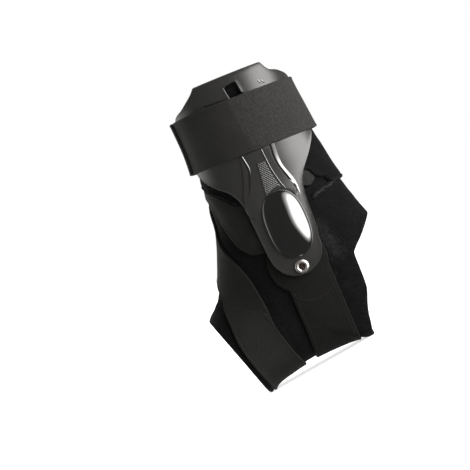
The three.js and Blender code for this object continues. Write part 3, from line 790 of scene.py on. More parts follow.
def bar_mesh(line, width, height, sides=7):
    """A half-round bar along a line in the flat, thin at both ends."""
    line = np.asarray(line, float)
    steps = lengths(line)
    count = max(int(steps[-1] / (3 * width)), 6) + 1
    length = np.linspace(0, steps[-1], count)
    middle = between_steps(length, steps, line)
    side = unit(np.gradient(middle, axis=0))[:, ::-1] * (1, -1)
    taper = np.clip(np.minimum(length, steps[-1] - length) / (1.2 * width), 0.05, 1) ** 0.5
    angle = np.linspace(0, math.pi, sides)
    offset = -np.cos(angle)[None, :, None] * side[:, None] * (width / 2 * taper)[:, None, None]
    flat = middle[:, None] + offset
    up = np.sin(angle)[None] * height * taper[:, None]
    top = np.concatenate([flat, up[..., None]], -1).reshape(-1, 3)
    return plate_mesh(top, grid_faces(count, sides))


def plate_mesh(top, faces, sunk=0.15):
    """A closed piece in the flat under a top surface given in millimetres, sunk a little below zero."""
    bottom = top * (1, 1, 0) - (0, 0, sunk)
    mesh = closed_mesh("plate", top * MM, bottom * MM, faces, np.zeros(len(top), bool))
    outward_faces(mesh)
    return added("plate", mesh)


def outward_faces(mesh):
    """Turns the faces of a closed mesh outwards."""
    shape = bmesh.new()
    shape.from_mesh(mesh)
    bmesh.ops.recalc_face_normals(shape, faces=shape.faces)
    shape.to_mesh(mesh)
    shape.free()


def joined(name, pieces):
    """Several pieces as one."""
    select_only(*pieces)
    if len(pieces) > 1:
        bpy.ops.object.join()
    return active_as(name)


def stitches(name, centres, normals, directions, length, radius):
    """A row of sewn stitches, each a small long bead lying on the cloth."""
    rings, sides = 5, 6
    share = np.linspace(-1, 1, rings)[:, None]
    thick = radius * np.sqrt(np.maximum(1 - share**2, 0.06))
    angle = np.linspace(0, 2 * math.pi, sides, endpoint=False)[None]
    along = np.broadcast_to(share * length / 2, (rings, sides))
    bead = np.stack([along, thick * np.cos(angle), thick * np.sin(angle)], -1).reshape(-1, 3)
    faces = []
    for ring in range(rings - 1):
        for step in range(sides):
            a, b = ring * sides + step, ring * sides + (step + 1) % sides
            faces.append((a, b, b + sides, a + sides))
    last = (rings - 1) * sides
    faces += [tuple(range(sides - 1, -1, -1)), tuple(range(last, last + sides))]
    across = unit(np.cross(normals, directions))
    verts = bead @ np.stack([directions, across, normals], axis=1) + centres[:, None, :]
    starts = range(0, len(centres) * len(bead), len(bead))
    polygons = [tuple(corner + start for corner in face) for start in starts for face in faces]
    mesh = bpy.data.meshes.new(name)
    mesh.from_pydata(verts.reshape(-1, 3).tolist(), [], polygons)
    outward_faces(mesh)
    return added(name, mesh)


def sewn_line(name, at, turn, height, pitch, length=1.7, radius=0.22):
    """Stitches at an even pitch along a line of places on the form."""
    point = to_row(raised(at, turn, height))
    steps = lengths(point)
    count = max(int(steps[-1] / (pitch * MM)), 2)
    where = (np.arange(count) + 0.5) * steps[-1] / count
    centre = between_steps(where, steps, point)
    normal = unit(between_steps(where, steps, outward(at, turn)))
    direction = unit(between_steps(where, steps, np.gradient(point, axis=0)))
    return stitches(name, centre, normal, direction, length * MM, radius * MM)


def grain(point, size, seed):
    """A smooth uneven value between about -1 and 1, with swells of this size in millimetres."""
    random = np.random.default_rng(seed)
    total = np.zeros(len(point))
    for _ in range(5):
        direction = unit(random.normal(size=3))
        swing = unit(np.cross(direction, random.normal(size=3)))
        wave = 2 * math.pi / (size * random.uniform(0.7, 1.5))
        phase = random.uniform(0, 2 * math.pi, 2)
        bend = np.sin(point @ swing * wave * 0.7 + phase[0])
        total += np.sin(point @ direction * wave + 1.6 * bend + phase[1])
    return total / 3.2


class Value:
    """A socket of a material, with arithmetic that adds Math nodes."""

    def __init__(self, shader, socket):
        self.shader = shader
        self.socket = socket

    def math(self, operation, *values):
        return self.shader.node("Math", {"operation": operation}, dict(enumerate(values)))

    def __add__(self, other):
        return self.math("ADD", self, other)

    def __mul__(self, other):
        return self.math("MULTIPLY", self, other)

    def __sub__(self, other):
        return self.math("SUBTRACT", self, other)

    def __rsub__(self, other):
        return self.math("SUBTRACT", other, self)

    __radd__ = __add__
    __rmul__ = __mul__


class Nodes:
    """The nodes of a material or of the world."""

    def __init__(self, tree):
        self.tree = tree

    def node(self, kind, settings=None, values=None, output=0):
        """Adds a node: its settings first, then the values or links of its sockets. Returns one output."""
        node = self.tree.nodes.new("ShaderNode" + kind)
        for label, value in (settings or {}).items():
            setattr(node, label, value)
        for label, value in (values or {}).items():
            self.feed(node.inputs[label], value)
        return Value(self, node.outputs[output])

    def feed(self, socket, value):
        """Links a value to a socket, or sets a plain one."""
        if isinstance(value, Value):
            self.tree.links.new(value.socket, socket)
        else:
            socket.default_value = value


class Shader(Nodes):
    """A material with one principled surface, and the nodes that vary it."""

    def __init__(self, name, **surface):
        self.material = bpy.data.materials.new(name)
        self.material.use_nodes = True
        super().__init__(self.material.node_tree)
        self.vary(**surface)

    def vary(self, **values):
        """Sets or links sockets of the surface, named as in base_color or coat_ior."""
        surface = self.tree.nodes["Principled BSDF"]
        for label, value in values.items():
            self.feed(surface.inputs[label.replace("_", " ").title().replace("Ior", "IOR")], value)

    def place(self):
        return self.node("TexCoord", output="Object")

    def unwrapped(self):
        """The piece's own UV map: metres along a strap or round the form, and metres across or down."""
        first = self.node("SeparateXYZ", None, {0: self.node("UVMap", {"uv_map": "UVMap"})})
        return [Value(self, output) for output in first.socket.node.outputs[:2]]

    def noise(self, vector, size, detail=3.0, roughness=0.5, distortion=0.0):
        """Noise with grains of this size in millimetres."""
        return self.node("TexNoise", None, {
            "Vector": vector, "Scale": 1 / (size * MM), "Detail": detail, "Roughness": roughness,
            "Distortion": distortion,
        })

    def waves(self, value, length):
        """A sine wave of this length in millimetres along a value in metres."""
        return self.node("Math", {"operation": "SINE"}, {0: value * (2 * math.pi / (length * MM))})

    def between(self, value, low, high):
        """The value as a share from low to high, kept between 0 and 1."""
        return self.node("MapRange", {"clamp": True}, {"Value": value, "From Min": low, "From Max": high})

    def mix(self, share, first, second):
        """A colour between two. A Mix node takes its colours at sockets 6 and 7, and gives one at 2."""
        return self.node("Mix", {"data_type": "RGBA"}, {0: share, 6: first, 7: second}, output=2)

    def bump(self, height, depth, strength):
        """A bump of this depth in millimetres."""
        return self.node("Bump", None, {"Height": height, "Distance": depth * MM, "Strength": strength})


def paint(colour, factor=1.0):
    """A colour, lighter or darker by a factor, as a socket takes it."""
    return tuple(min(part * factor, 1.0) for part in colour) + (1.0,)


def velour_material(name, colour):
    """Loop-faced cloth: a soft pile with clumps, painted glints as bright flecks where loops would catch the
    light, paler places, and a painted highlight along a fold's crest.
    """
    shader = Shader(
        name, roughness=0.92, sheen_weight=0.05, sheen_roughness=0.35, sheen_tint=(0.80, 0.76, 0.72, 1),
        specular_ior_level=0.04,
    )
    place = shader.place()
    pile = shader.noise(place, 0.7, 3)
    clumps = shader.noise(place, 2.6, 2)
    patches = shader.noise(place, 24, 2, distortion=0.6)
    flecks = shader.between(shader.noise(place, 0.7, 2), 0.46, 0.68) * shader.between(clumps, 0.36, 0.60)
    worn = shader.node("Attribute", {"attribute_name": "worn"}, output="Fac")
    worn = shader.between(patches, 0.50, 0.75) * 0.25 + worn
    base = shader.mix(clumps, paint(colour, 0.55), paint(colour, 1.5))
    # Painted glints: bright flecks in the paler places and on the painted highlight.
    base = shader.mix(flecks * worn, base, paint(colour, 7.2))
    # Painted highlight: much lighter where the value is high, mostly along the sleeve fold's crest.
    base = shader.mix(shader.between(worn, 0.60, 1.0) * 0.7, base, paint(colour, 6.1))
    shader.vary(base_color=base, normal=shader.bump(pile * 0.6 + clumps * 0.5, 0.9, 0.7))
    return shader.material


def pad_material(name, colour):
    """Close smooth cloth with a faint knit."""
    shader = Shader(name, roughness=0.62, sheen_weight=0.02, sheen_roughness=0.4, specular_ior_level=0.10)
    u, v = shader.unwrapped()
    knit = shader.waves(u, 0.9) * shader.waves(v, 0.7)
    soil = shader.noise(shader.place(), 11, 3)
    base = shader.mix(shader.between(soil, 0.3, 0.7), paint(colour, 0.8), paint(colour, 1.2))
    shader.vary(base_color=base, normal=shader.bump(knit + soil * 2, 0.12, 0.5))
    return shader.material


def woven_material(name, colour, rib, pick, speckle, sheen, loops_from=None):
    """Webbing: ribs along the strap, crossed by picks, with fibres that vary the colour. It is fluffier and
    paler where its loops start, in metres round the strap from the front; that paleness is partly the loop
    face and partly painted light, and the darker front part partly painted shade, for how the strap turns to
    and from the light."""
    shader = Shader(name, roughness=0.72, sheen_weight=sheen, sheen_roughness=0.35, specular_ior_level=0.10)
    u, v = shader.unwrapped()
    weave = shader.waves(v, rib) * shader.waves(u, pick)
    place = shader.place()
    fibres = shader.noise(place, 0.8, 4, 0.7)
    cloud = shader.noise(place, 17, 2)
    light = shader.between(weave * 0.22 + fibres, 0.25, 0.95)
    base = shader.mix(light, paint(colour, 1 - speckle), paint(colour, 1 + speckle))
    base = shader.mix(shader.between(cloud, 0.35, 0.65) * 0.25, base, paint(colour, 1.5))
    relief = weave + fibres * 1.2
    if loops_from is not None:
        place_round = u.math("ABSOLUTE", u) + (cloud - 0.5) * 0.004
        loops = shader.between(place_round, loops_from - 0.0015, loops_from + 0.0015)
        tufts = shader.noise(place, 1.5, 3, 0.6)
        # Paler loop face: partly the loops' own colour, partly painted light where the strap faces the light.
        fluffy_and_lit = shader.mix(shader.between(tufts, 0.3, 0.7), paint(colour, 0.85), paint(colour, 1.85))
        base = shader.mix(loops, base, fluffy_and_lit)
        relief = relief + tufts * loops * 3
    shader.vary(base_color=base, normal=shader.bump(relief, 0.22, 0.75))
    return shader.material


def shell_material(name, colour):
    """Satin moulded plastic with a fine grain and light scuffs."""
    shader = Shader(name, specular_ior_level=0.36)
    place = shader.place()
    fine = shader.noise(place, 0.7, 3, 0.6)
    scuff = shader.between(shader.noise(place, 7, 5, 0.65), 0.48, 0.78)
    base = shader.mix(scuff, paint(colour), paint(colour, 1.12))
    rough = 0.27 + scuff * 0.02 + fine * 0.03
    shader.vary(base_color=base, roughness=rough, normal=shader.bump(fine, 0.07, 0.5))
    return shader.material


def gloss_material(name, colour, roughness):
    """Polished black moulding, with the faintest unevenness."""
    shader = Shader(name, ior=1.6, coat_weight=1.0, coat_roughness=roughness * 0.6, coat_ior=1.5)
    haze = shader.between(shader.noise(shader.place(), 9, 4, 0.6), 0.5, 0.8)
    base = shader.mix(haze, paint(colour), paint(colour, 1.3))
    shader.vary(base_color=base, roughness=roughness + haze * 0.02)
    return shader.material


def metal_material(name, colour, roughness):
    """Bright metal with fine scratches and a little tarnish."""
    shader = Shader(name, metallic=1.0)
    place = shader.place()
    scratches = shader.noise(place, 0.35, 4, 0.7)
    tarnish = shader.between(shader.noise(place, 1.6, 3), 0.42, 0.72)
    base = shader.mix(tarnish, paint(colour), paint(colour, 0.45))
    rough = roughness + scratches * 0.12 + tarnish * 0.10
    shader.vary(base_color=base, roughness=rough, normal=shader.bump(scratches, 0.05, 0.5))
    return shader.material


def thread_material(name, colour):
    """Sewing thread, with its twist."""
    shader = Shader(name, roughness=0.6, sheen_weight=0.03, specular_ior_level=0.15)
    twist = shader.noise(shader.place(), 0.45, 2)
    base = shader.mix(twist, paint(colour, 0.6), paint(colour, 1.4))
    shader.vary(base_color=base, normal=shader.bump(twist, 0.1, 0.5))
    return shader.material


def floor_material(name, colour):
    """The pale floor, with a glow that hides its edge against the white behind it."""
    shader = Shader(name, roughness=0.85, emission_strength=0.75, emission_color=paint(colour))
    soft = shader.noise(shader.place(), 300, 2)
    shader.vary(base_color=shader.mix(soft, paint(colour, 0.985), paint(colour)))
    return shader.material


def colour_property(name, value, description):
    return FloatVectorProperty(
        name=name, description=description, subtype="COLOR", size=3, min=0, max=1, default=value,
    )


def size_property(name, value, description):
    return FloatProperty(
        name=name, description=description, subtype="DISTANCE", unit="LENGTH", min=0, default=value * MM,
        precision=4,
    )


class BraceSizes(bpy.types.PropertyGroup):
    """Sizes of the dressing that can be changed without the solids."""

    dome_height: size_property("Dome height", 6.0, "How far each dome is crowned")
    shell_edge: size_property("Shell edge", 0.9, "Rounding of the shells' edges")
    tongue_relief: size_property("Tongue relief", 0.9, "How far the shells' tongue stands up")
    fin_height: size_property("Fin height", 1.5, "Height of the fins beside the tongue")
    hatch_pitch: size_property("Hatch pitch", 1.45, "Spacing of the moulded cross-hatch")
    stitch_pitch: size_property("Stitch pitch", 2.6, "Spacing of the sewn stitches")
    sleeve_swell: size_property("Sleeve swell", 0.7, "Soft unevenness of the foam sleeve")


class BraceColours(bpy.types.PropertyGroup):
    """Colours of the finishes."""

    velour: colour_property("Velour", (0.0036, 0.0036, 0.0037), "Sleeve and collar")
    pad: colour_property("Pad", (0.0080, 0.0082, 0.0070), "Smooth pads")
    webbing: colour_property("Webbing", (0.0050, 0.0050, 0.0044), "Stirrup band")
    elastic: colour_property("Elastic", (0.0080, 0.0080, 0.0071), "Lower strap")
    cuff: colour_property("Cuff strap", (0.0150, 0.0147, 0.0142), "Top strap")
    shell: colour_property("Shell", (0.0180, 0.0178, 0.0165), "Hard side shells")
    gloss: colour_property("Gloss", (0.0012, 0.0012, 0.0010), "Domes and glossy trim")
    chrome: colour_property("Chrome", (0.85, 0.81, 0.78), "Rivets")
    copper: colour_property("Copper", (0.115, 0.085, 0.072), "Hollow of the rivets")
    thread: colour_property("Thread", (0.016, 0.016, 0.015), "Stitching")
    floor: colour_property("Floor", (0.90, 0.90, 0.90), "Floor of the stage")


class StageSettings(bpy.types.PropertyGroup):
    """Light of the stage."""

    key: FloatProperty(name="Key light", description="Strength of the large soft light", default=5.5)
    lamp: FloatProperty(name="Lamp", description="Strength of the middle of that light", default=8.0)
    fill: FloatProperty(name="Fill light", description="Strength of the pale wall behind", default=1.5)
    room: FloatProperty(name="Room light", description="Strength of the light all round", default=0.17)


class PieceOperator:
    """What the operators that add pieces share."""

    bl_options = {"REGISTER", "UNDO"}

    def execute(self, context):
        scene = context.scene
        self.make(scene.brace_sizes, scene.brace_colours)
        return {"FINISHED"}


FINISHES = {
    # finish: its maker, its material's name, its colour, and what else the maker takes
    "velour": (velour_material, "velour", "velour", {}),
    "pad": (pad_material, "pad_cloth", "pad", {}),
    "webbing": (woven_material, "webbing", "webbing", dict(rib=1.5, pick=1.1, speckle=0.25, sheen=0.02)),
    "elastic": (woven_material, "elastic", "elastic", dict(rib=1.2, pick=1.6, speckle=0.18, sheen=0.03)),
    "cuff": (
        woven_material, "cuff_elastic", "cuff",
        dict(rib=1.3, pick=1.3, speckle=0.15, sheen=0.03, loops_from=LOOPS_FROM),
    ),
    "shell": (shell_material, "shell_plastic", "shell", {}),
    "gloss": (gloss_material, "gloss_plastic", "gloss", {"roughness": 0.05}),
    "gloss_trim": (gloss_material, "gloss_trim", "gloss", {"roughness": 0.22}),
    "chrome": (metal_material, "chrome", "chrome", {"roughness": 0.24}),
    "copper": (metal_material, "copper", "copper", {"roughness": 0.30}),
    "thread": (thread_material, "thread", "thread", {}),
    "floor": (floor_material, "pale_floor", "floor", {}),
}
MADE = {}


def material(finish, colours):
    """The material of a finish, made once."""
    if finish not in MADE:
        maker, name, colour, settings = FINISHES[finish]
        MADE[finish] = maker(name, getattr(colours, colour), **settings)
    return MADE[finish]


class MESH_OT_brace_sleeve(PieceOperator, bpy.types.Operator):
    """Add the foam sleeve with its heel and toe openings"""

    bl_idname = "mesh.brace_sleeve"
    bl_label = "Sleeve"

    def make(self, sizes, colours):
        def edge(point, at, turn):
            x, z = side_view(point)
            toe = measured(DOWN, LAST - 0.01, turn) - measured(DOWN, at, turn)
            return np.minimum.reduce([-inside(HEEL_OUTLINE, x, z), -inside(ABOVE_OUTLINE, x, z), toe])

        fold = smooth(in_form(FOLD))
        creases = [(lambda point: distance(fold, *side_view(point)), (0.9, 1.4, 2.0))]
        region = Region(edge, (0, LAST), (-180, 180), 2.3, rings=(0.3, 0.9, 1.8), creases=creases)
        point = region.points(SLEEVE_WALL)
        x, z = side_view(point)
        covered = np.maximum.reduce([
            inside(COLLAR_OUTLINE, x, z), inside(PAD_OUTLINE, x, z), band_space(x, z),
            strap_depth(STRAP_LINE, point), inside(SHELL_OUTLINE, x, z),
        ])
        swell = (0.6 + 0.6 * grain(point, 30, 3) + 0.25 * grain(point, 11, 4)) * sizes.sleeve_swell / MM
        # The fold's crest stands up, and the velour on it is also painted lighter as a painted highlight
        # along the ridge.
        crest = np.where(point[:, 1] < 0, 1 - ramp(distance(fold, x, z), 0.9, 2.0), 0)
        high = SLEEVE_WALL * soft_edge(region.depth, 1.8) + ramp(-covered, 1.5, 9.0) * swell + 1.8 * crest
        # The velour is painted paler near a line and along the edges.
        paler_patches = 0.7 * ramp(-distance(in_form(PALER_LINE), x, z), -11, -3) + 0.5 * ramp(-region.depth, -2.2, -0.4)
        piece = region_piece("sleeve_cloth", region, high, 0.0, np.maximum(crest, paler_patches))
        finish_piece(piece, [material("velour", colours)], "sleeve")


class MESH_OT_brace_collar(PieceOperator, bpy.types.Operator):
    """Add the collar round the top of the sleeve"""

    bl_idname = "mesh.brace_collar"
    bl_label = "Collar"

    def make(self, sizes, colours):
        def edge(point, at, turn):
            hem = inside(COLLAR_OUTLINE, *side_view(point))
            return np.minimum(hem, -strap_depth(STRAP_LINE, point) - 2 * GAP)

        region = Region(edge, (0, 8), (-180, 180), 2.2, rings=(0.3, 0.8, 1.6, 3.0))
        point = region.points(CLOTH_TOP)
        x, z = side_view(point)
        hidden = np.maximum(inside(SHELL_OUTLINE, x, z), strap_cover(x, z))
        hem = 0.5 * ridge(region.depth, 1.6, 0.9) - 0.35 * ridge(region.depth, 3.4, 0.7)
        swell = 0.5 + 0.5 * grain(point, 24, 8)
        wall = PAD_THICKNESS * soft_edge(region.depth, 1.2, 0.5)
        high = CLOTH_BOTTOM + wall + ramp(-hidden, 0.3, 4.0) * (swell + hem)
        # The velour is painted paler along the collar's edges.
        worn = 0.6 * ramp(-region.depth, -2.6, -0.4)
        piece = region_piece("collar_cloth", region, high, CLOTH_BOTTOM, worn)
        finish_piece(piece, [material("velour", colours)], "collar")


def turns_of(side):
    """The turns round the form of its inner side, -1, or its outer side, 1."""
    return (0, 180) if side < 0 else (-180, 0)


class MESH_OT_brace_pads(PieceOperator, bpy.types.Operator):
    """Add the smooth pads under the shells"""

    bl_idname = "mesh.brace_pads"
    bl_label = "Pads"

    def make(self, sizes, colours):
        for name, side in SIDES:
            def edge(point, at, turn):
                x, y, z = np.moveaxis(point, -1, 0)
                parts = [
                    inside(PAD_OUTLINE, x, z), -inside(COLLAR_OUTLINE, x, z) - GAP, -band_space(x, z) - GAP,
                    side * y - GAP,
                ]
                if side > 0:
                    parts += [-strap_depth(STRAP_LINE, point) - 2 * GAP, -strap_depth(ABOVE_LINE, point)]
                return np.minimum.reduce(parts)

            region = Region(edge, (2, 10), turns_of(side), 1.7, rings=(0.2, 0.6, 1.2))
            point = region.points(CLOTH_TOP)
            hem = -0.25 * ridge(region.depth, 2.2, 0.5)
            crown = 0.45 * ramp(region.depth, 1, 9) + 0.2 * grain(point, 22, 5) * ramp(region.depth, 1, 4)
            free = ramp(-inside(SHELL_OUTLINE, *side_view(point)), 0.3, 3.0)
            high = CLOTH_BOTTOM + PAD_THICKNESS * soft_edge(region.depth, 0.8, 0.7) + free * (crown + hem)
            piece = region_piece(name + "_pad_cloth", region, high, CLOTH_BOTTOM)
            finish_piece(piece, [material("pad", colours)], name + "_pad")


def rivet_hole(x, z):
    """How far outside the rivet's hole a point is."""
    return np.hypot(x - RIVET_X, z - RIVET_Z) - RIVET_SHANK_RADIUS - GAP


class MESH_OT_brace_band(PieceOperator, bpy.types.Operator):
    """Add the stirrup band under the sole"""

    bl_idname = "mesh.brace_band"
    bl_label = "Stirrup band"

    def make(self, sizes, colours):
        def edge(point, at, turn):
            x, z = side_view(point)
            return np.minimum(band_space(x, z), rivet_hole(x, z))

        region = Region(edge, (2, LAST), (0, 360), 1.8, rings=(0.2, 0.6, 1.1))
        seam = 0.3 - 0.30 * ridge(region.depth, BAND_HEM, 0.5)
        high = CLOTH_BOTTOM + BAND_THICKNESS * soft_edge(region.depth, 1.0) + seam
        piece = region_piece("stirrup_cloth", region, high, CLOTH_BOTTOM)
        finish_piece(piece, [material("webbing", colours)], "stirrup_band")
        area = region.area(CLOTH_BOTTOM + BAND_THICKNESS)


class MESH_OT_brace_lower_strap(PieceOperator, bpy.types.Operator):
    """Add the oblique elastic strap"""

    bl_idname = "mesh.brace_lower_strap"
    bl_label = "Lower strap"

    def make(self, sizes, colours):
        def edge(point, at, turn):
            return strap_depth(STRAP_LINE, point)

        region = Region(edge, (0, LAST), (-180, 180), 1.7, rings=(0.2, 0.6, 1.1, 2.0))
        _, along, side = beside(STRAP_LINE, region.points(CLOTH_BOTTOM))
        selvedge = 0.25 + 0.30 * ridge(region.depth, 0.9, 0.5)
        high = CLOTH_BOTTOM + STRAP_THICKNESS * soft_edge(region.depth, 0.8) + selvedge
        uv = np.stack([along, side], -1) * MM
        piece = region_piece("lower_strap_elastic", region, high, CLOTH_BOTTOM, uv=uv)
        finish_piece(piece, [material("elastic", colours)], "lower_strap")
        area = region.area(CLOTH_BOTTOM + STRAP_THICKNESS)


class MESH_OT_brace_shells(PieceOperator, bpy.types.Operator):
    """Add the hard side shells with their raised tongue, slot and window"""

    bl_idname = "mesh.brace_shells"
    bl_label = "Shells"

    def make(self, sizes, colours):
        creases = [
            (lambda point: inside(TONGUE_OUTLINE, *side_view(point)), (0.0, 0.6)),
            (lambda point: distance(SLOT, *side_view(point)), (0.5, 1.2)),
        ]
        for name, side in SIDES:
            def edge(point, at, turn):
                x, y, z = np.moveaxis(point, -1, 0)
                moulding = np.minimum(inside(SHELL_OUTLINE, x, z), -inside(WINDOW_OUTLINE, x, z))
                return np.minimum.reduce([moulding, rivet_hole(x, z), side * y - GAP])

            region = Region(edge, (0, 9), turns_of(side), 1.5, rings=(0.12, 0.4, 0.9), creases=creases)
            x, z = side_view(region.points(SHELL_TOP))
            lip = 0.25 * ridge(region.depth, 0.9, 0.5) * ramp(strap_cover(x, z), 0.3, -1.2)
            wall = SHELL_WALL * soft_edge(region.depth, sizes.shell_edge / MM, 0.35)
            slot = 1.0 - ramp(distance(SLOT, x, z), 0.5, 1.2)
            high = SHELL_BOTTOM + wall + tongue(x, z) * sizes.tongue_relief / MM - slot + lip
            piece = region_piece(name + "_shell_moulding", region, high, SHELL_BOTTOM)
            finish_piece(piece, [material("shell", colours)], name + "_shell")


def tongue(x, z):
    """Where the tongue of a shell stands up, as a share of its full height."""
    bare = ramp(strap_cover(x, z), 0.3, -1.2) * ramp(inside(DOME_OUTLINE, x, z), 0.5, -0.8)
    root = ramp(z, LOBE_Z + 0.19 * SHELL_RISE, LOBE_Z + 0.30 * SHELL_RISE)
    return ramp(inside(TONGUE_OUTLINE, x, z), 0.0, 0.6) * bare * root


class MESH_OT_brace_trim(PieceOperator, bpy.types.Operator):
    """Add the shells' fins, rib, cross-hatch and moulded bars"""

    bl_idname = "mesh.brace_trim"
    bl_label = "Shell trim"

    # across a fin: share of its width, share of its height
    FIN_SECTION = (
        (0.0, 0.0), (0.10, 0.45), (0.26, 0.96), (0.34, 1.0), (0.5, 0.80), (0.75, 0.42), (1.0, 0.05),
    )
    HATCH_SLANT = 32
    HATCH_STEP = 0.22

    def make(self, sizes, colours):
        def relief(x, z):
            return tongue(x, z) * sizes.tongue_relief / MM

        for name, side in SIDES:
            fins = [self.fin(rows, sizes.fin_height / MM) for rows in (BACK_FIN, FRONT_FIN)]
            ribs = [bar_mesh(smooth(on_shell(BACK_RIB)), 1.0, 0.8)]
            ribs += [bar_mesh(on_shell(line), 1.2, 0.4) for line in MOULDED_BARS]
            hatch = [self.hatch(sizes.hatch_pitch / MM)]
            for label, pieces, finish, slot in (
                ("_fins", fins, "gloss_trim", "gloss_plastic"),
                ("_ribs", ribs, "gloss_trim", "gloss_plastic"),
                ("_hatch", hatch, "shell", "shell_plastic"),
            ):
                piece = lay(joined(name + label, pieces), SHELL_TOP, side, relief)
                finish_piece(piece, [material(finish, colours)])

    def fin(self, rows, height):
        """A rib with a steep face along one edge and a long slope to the other."""
        rows = smooth(rows, 8)
        steep = np.array(on_shell(rows[:, :2]))
        thin = np.array(on_shell(rows[:, [0, 2]]))
        section = np.array(self.FIN_SECTION)
        flat = steep[:, None] + section[None, :, :1] * (thin - steep)[:, None]
        up = section[None, :, 1] * height * rows[:, 3][:, None]
        top = np.concatenate([flat, up[..., None]], -1).reshape(-1, 3)
        return plate_mesh(top, grid_faces(len(rows), len(section)))

    def hatch(self, pitch):
        """A low field of crossed ridges."""
        outline = np.array(on_shell(HATCH))
        low, high = outline.min(axis=0), outline.max(axis=0)
        x, z = np.meshgrid(*(np.arange(low[i], high[i], self.HATCH_STEP) for i in (0, 1)))
        depth = inside(outline, x, z)
        slant = math.radians(self.HATCH_SLANT)
        over, up = x * math.cos(slant), z * math.sin(slant)
        first, second = (np.abs(np.sin(math.pi * (over + way * up) / pitch)) for way in (1, -1))
        ridges = first * (0.6 + 0.4 * second)
        up = 0.45 * ramp(depth, 0.0, 0.5) + 0.36 * ridges * ramp(depth, 0.3, 0.8)
        faces = grid_faces(*x.shape)[:, ::-1]
        keep = (depth.ravel()[faces] > 0).all(axis=1)
        used, index = np.unique(faces[keep], return_inverse=True)
        return plate_mesh(np.stack([x, z, up], -1).reshape(-1, 3)[used], index.reshape(-1, 4))


class MESH_OT_brace_domes(PieceOperator, bpy.types.Operator):
    """Add the glossy dome of each shell"""

    bl_idname = "mesh.brace_domes"
    bl_label = "Domes"

    # how far the foot of the half sphere goes down, in shares of its radius: to its top edge, and from there
    FOOT_TOP = 0.02
    FOOT_DROP = 0.13

    def make(self, sizes, colours):
        for name, side in SIDES:
            bpy.ops.object.select_all(action="DESELECT")
            bpy.ops.mesh.primitive_uv_sphere_add(segments=72, ring_count=48, radius=1, location=(0, 0, 0))
            piece = active_as(name + "_dome_moulding")
            bpy.ops.object.mode_set(mode="EDIT")
            bpy.ops.mesh.select_all(action="SELECT")
            bpy.ops.mesh.bisect(plane_co=(0, 0, 0), plane_no=(0, 0, 1), clear_inner=True, use_fill=False)
            bpy.ops.mesh.select_all(action="DESELECT")
            bpy.ops.mesh.select_mode(type="EDGE")
            bpy.ops.mesh.select_non_manifold(extend=False)
            bpy.ops.mesh.extrude_region_move(TRANSFORM_OT_translate={"value": (0, 0, -self.FOOT_TOP)})
            bpy.ops.transform.resize(value=(*DOME_FOOT, 1))
            bpy.ops.mesh.extrude_region_move(TRANSFORM_OT_translate={"value": (0, 0, -self.FOOT_DROP)})
            bpy.ops.mesh.edge_face_add()
            bpy.ops.object.mode_set(mode="OBJECT")
            self.shape(piece.data, sizes.dome_height / MM)
            rim = [polygon.center.z < 1.02 * DOME_RIM * MM for polygon in piece.data.polygons]
            lay(piece, SHELL_TOP + GAP, side)
            kinds = [material("gloss", colours), material("shell", colours)]
            finish_piece(piece, kinds, name + "_dome")
            piece.data.polygons.foreach_set("material_index", rim)

    def shape(self, mesh, crown):
        """Gives the half sphere the dome's boxy oval outline, its size and its place, in the flat."""
        verts = np.empty(len(mesh.vertices) * 3)
        mesh.vertices.foreach_get("co", verts)
        x, y, z = verts.reshape(-1, 3).T
        wide, long = DOME_WIDTH / 2 / DOME_FOOT[0], DOME_LENGTH / 2 / DOME_FOOT[1]
        flat = np.stack([x, y], -1) * reach(np.arctan2(y, x))[:, None] * (wide, long)
        flat = turned(flat + (DOME_X, DOME_Z), DOME_X, DOME_Z, -DOME_TILT)
        above = DOME_RIM + crown * np.clip(z, 0, 1) ** DOME_CROWN
        up = np.where(z >= 0, above, DOME_RIM * (1 + z / (self.FOOT_TOP + self.FOOT_DROP)))
        mesh.vertices.foreach_set("co", (np.concatenate([flat, up[:, None]], -1) * MM).ravel())


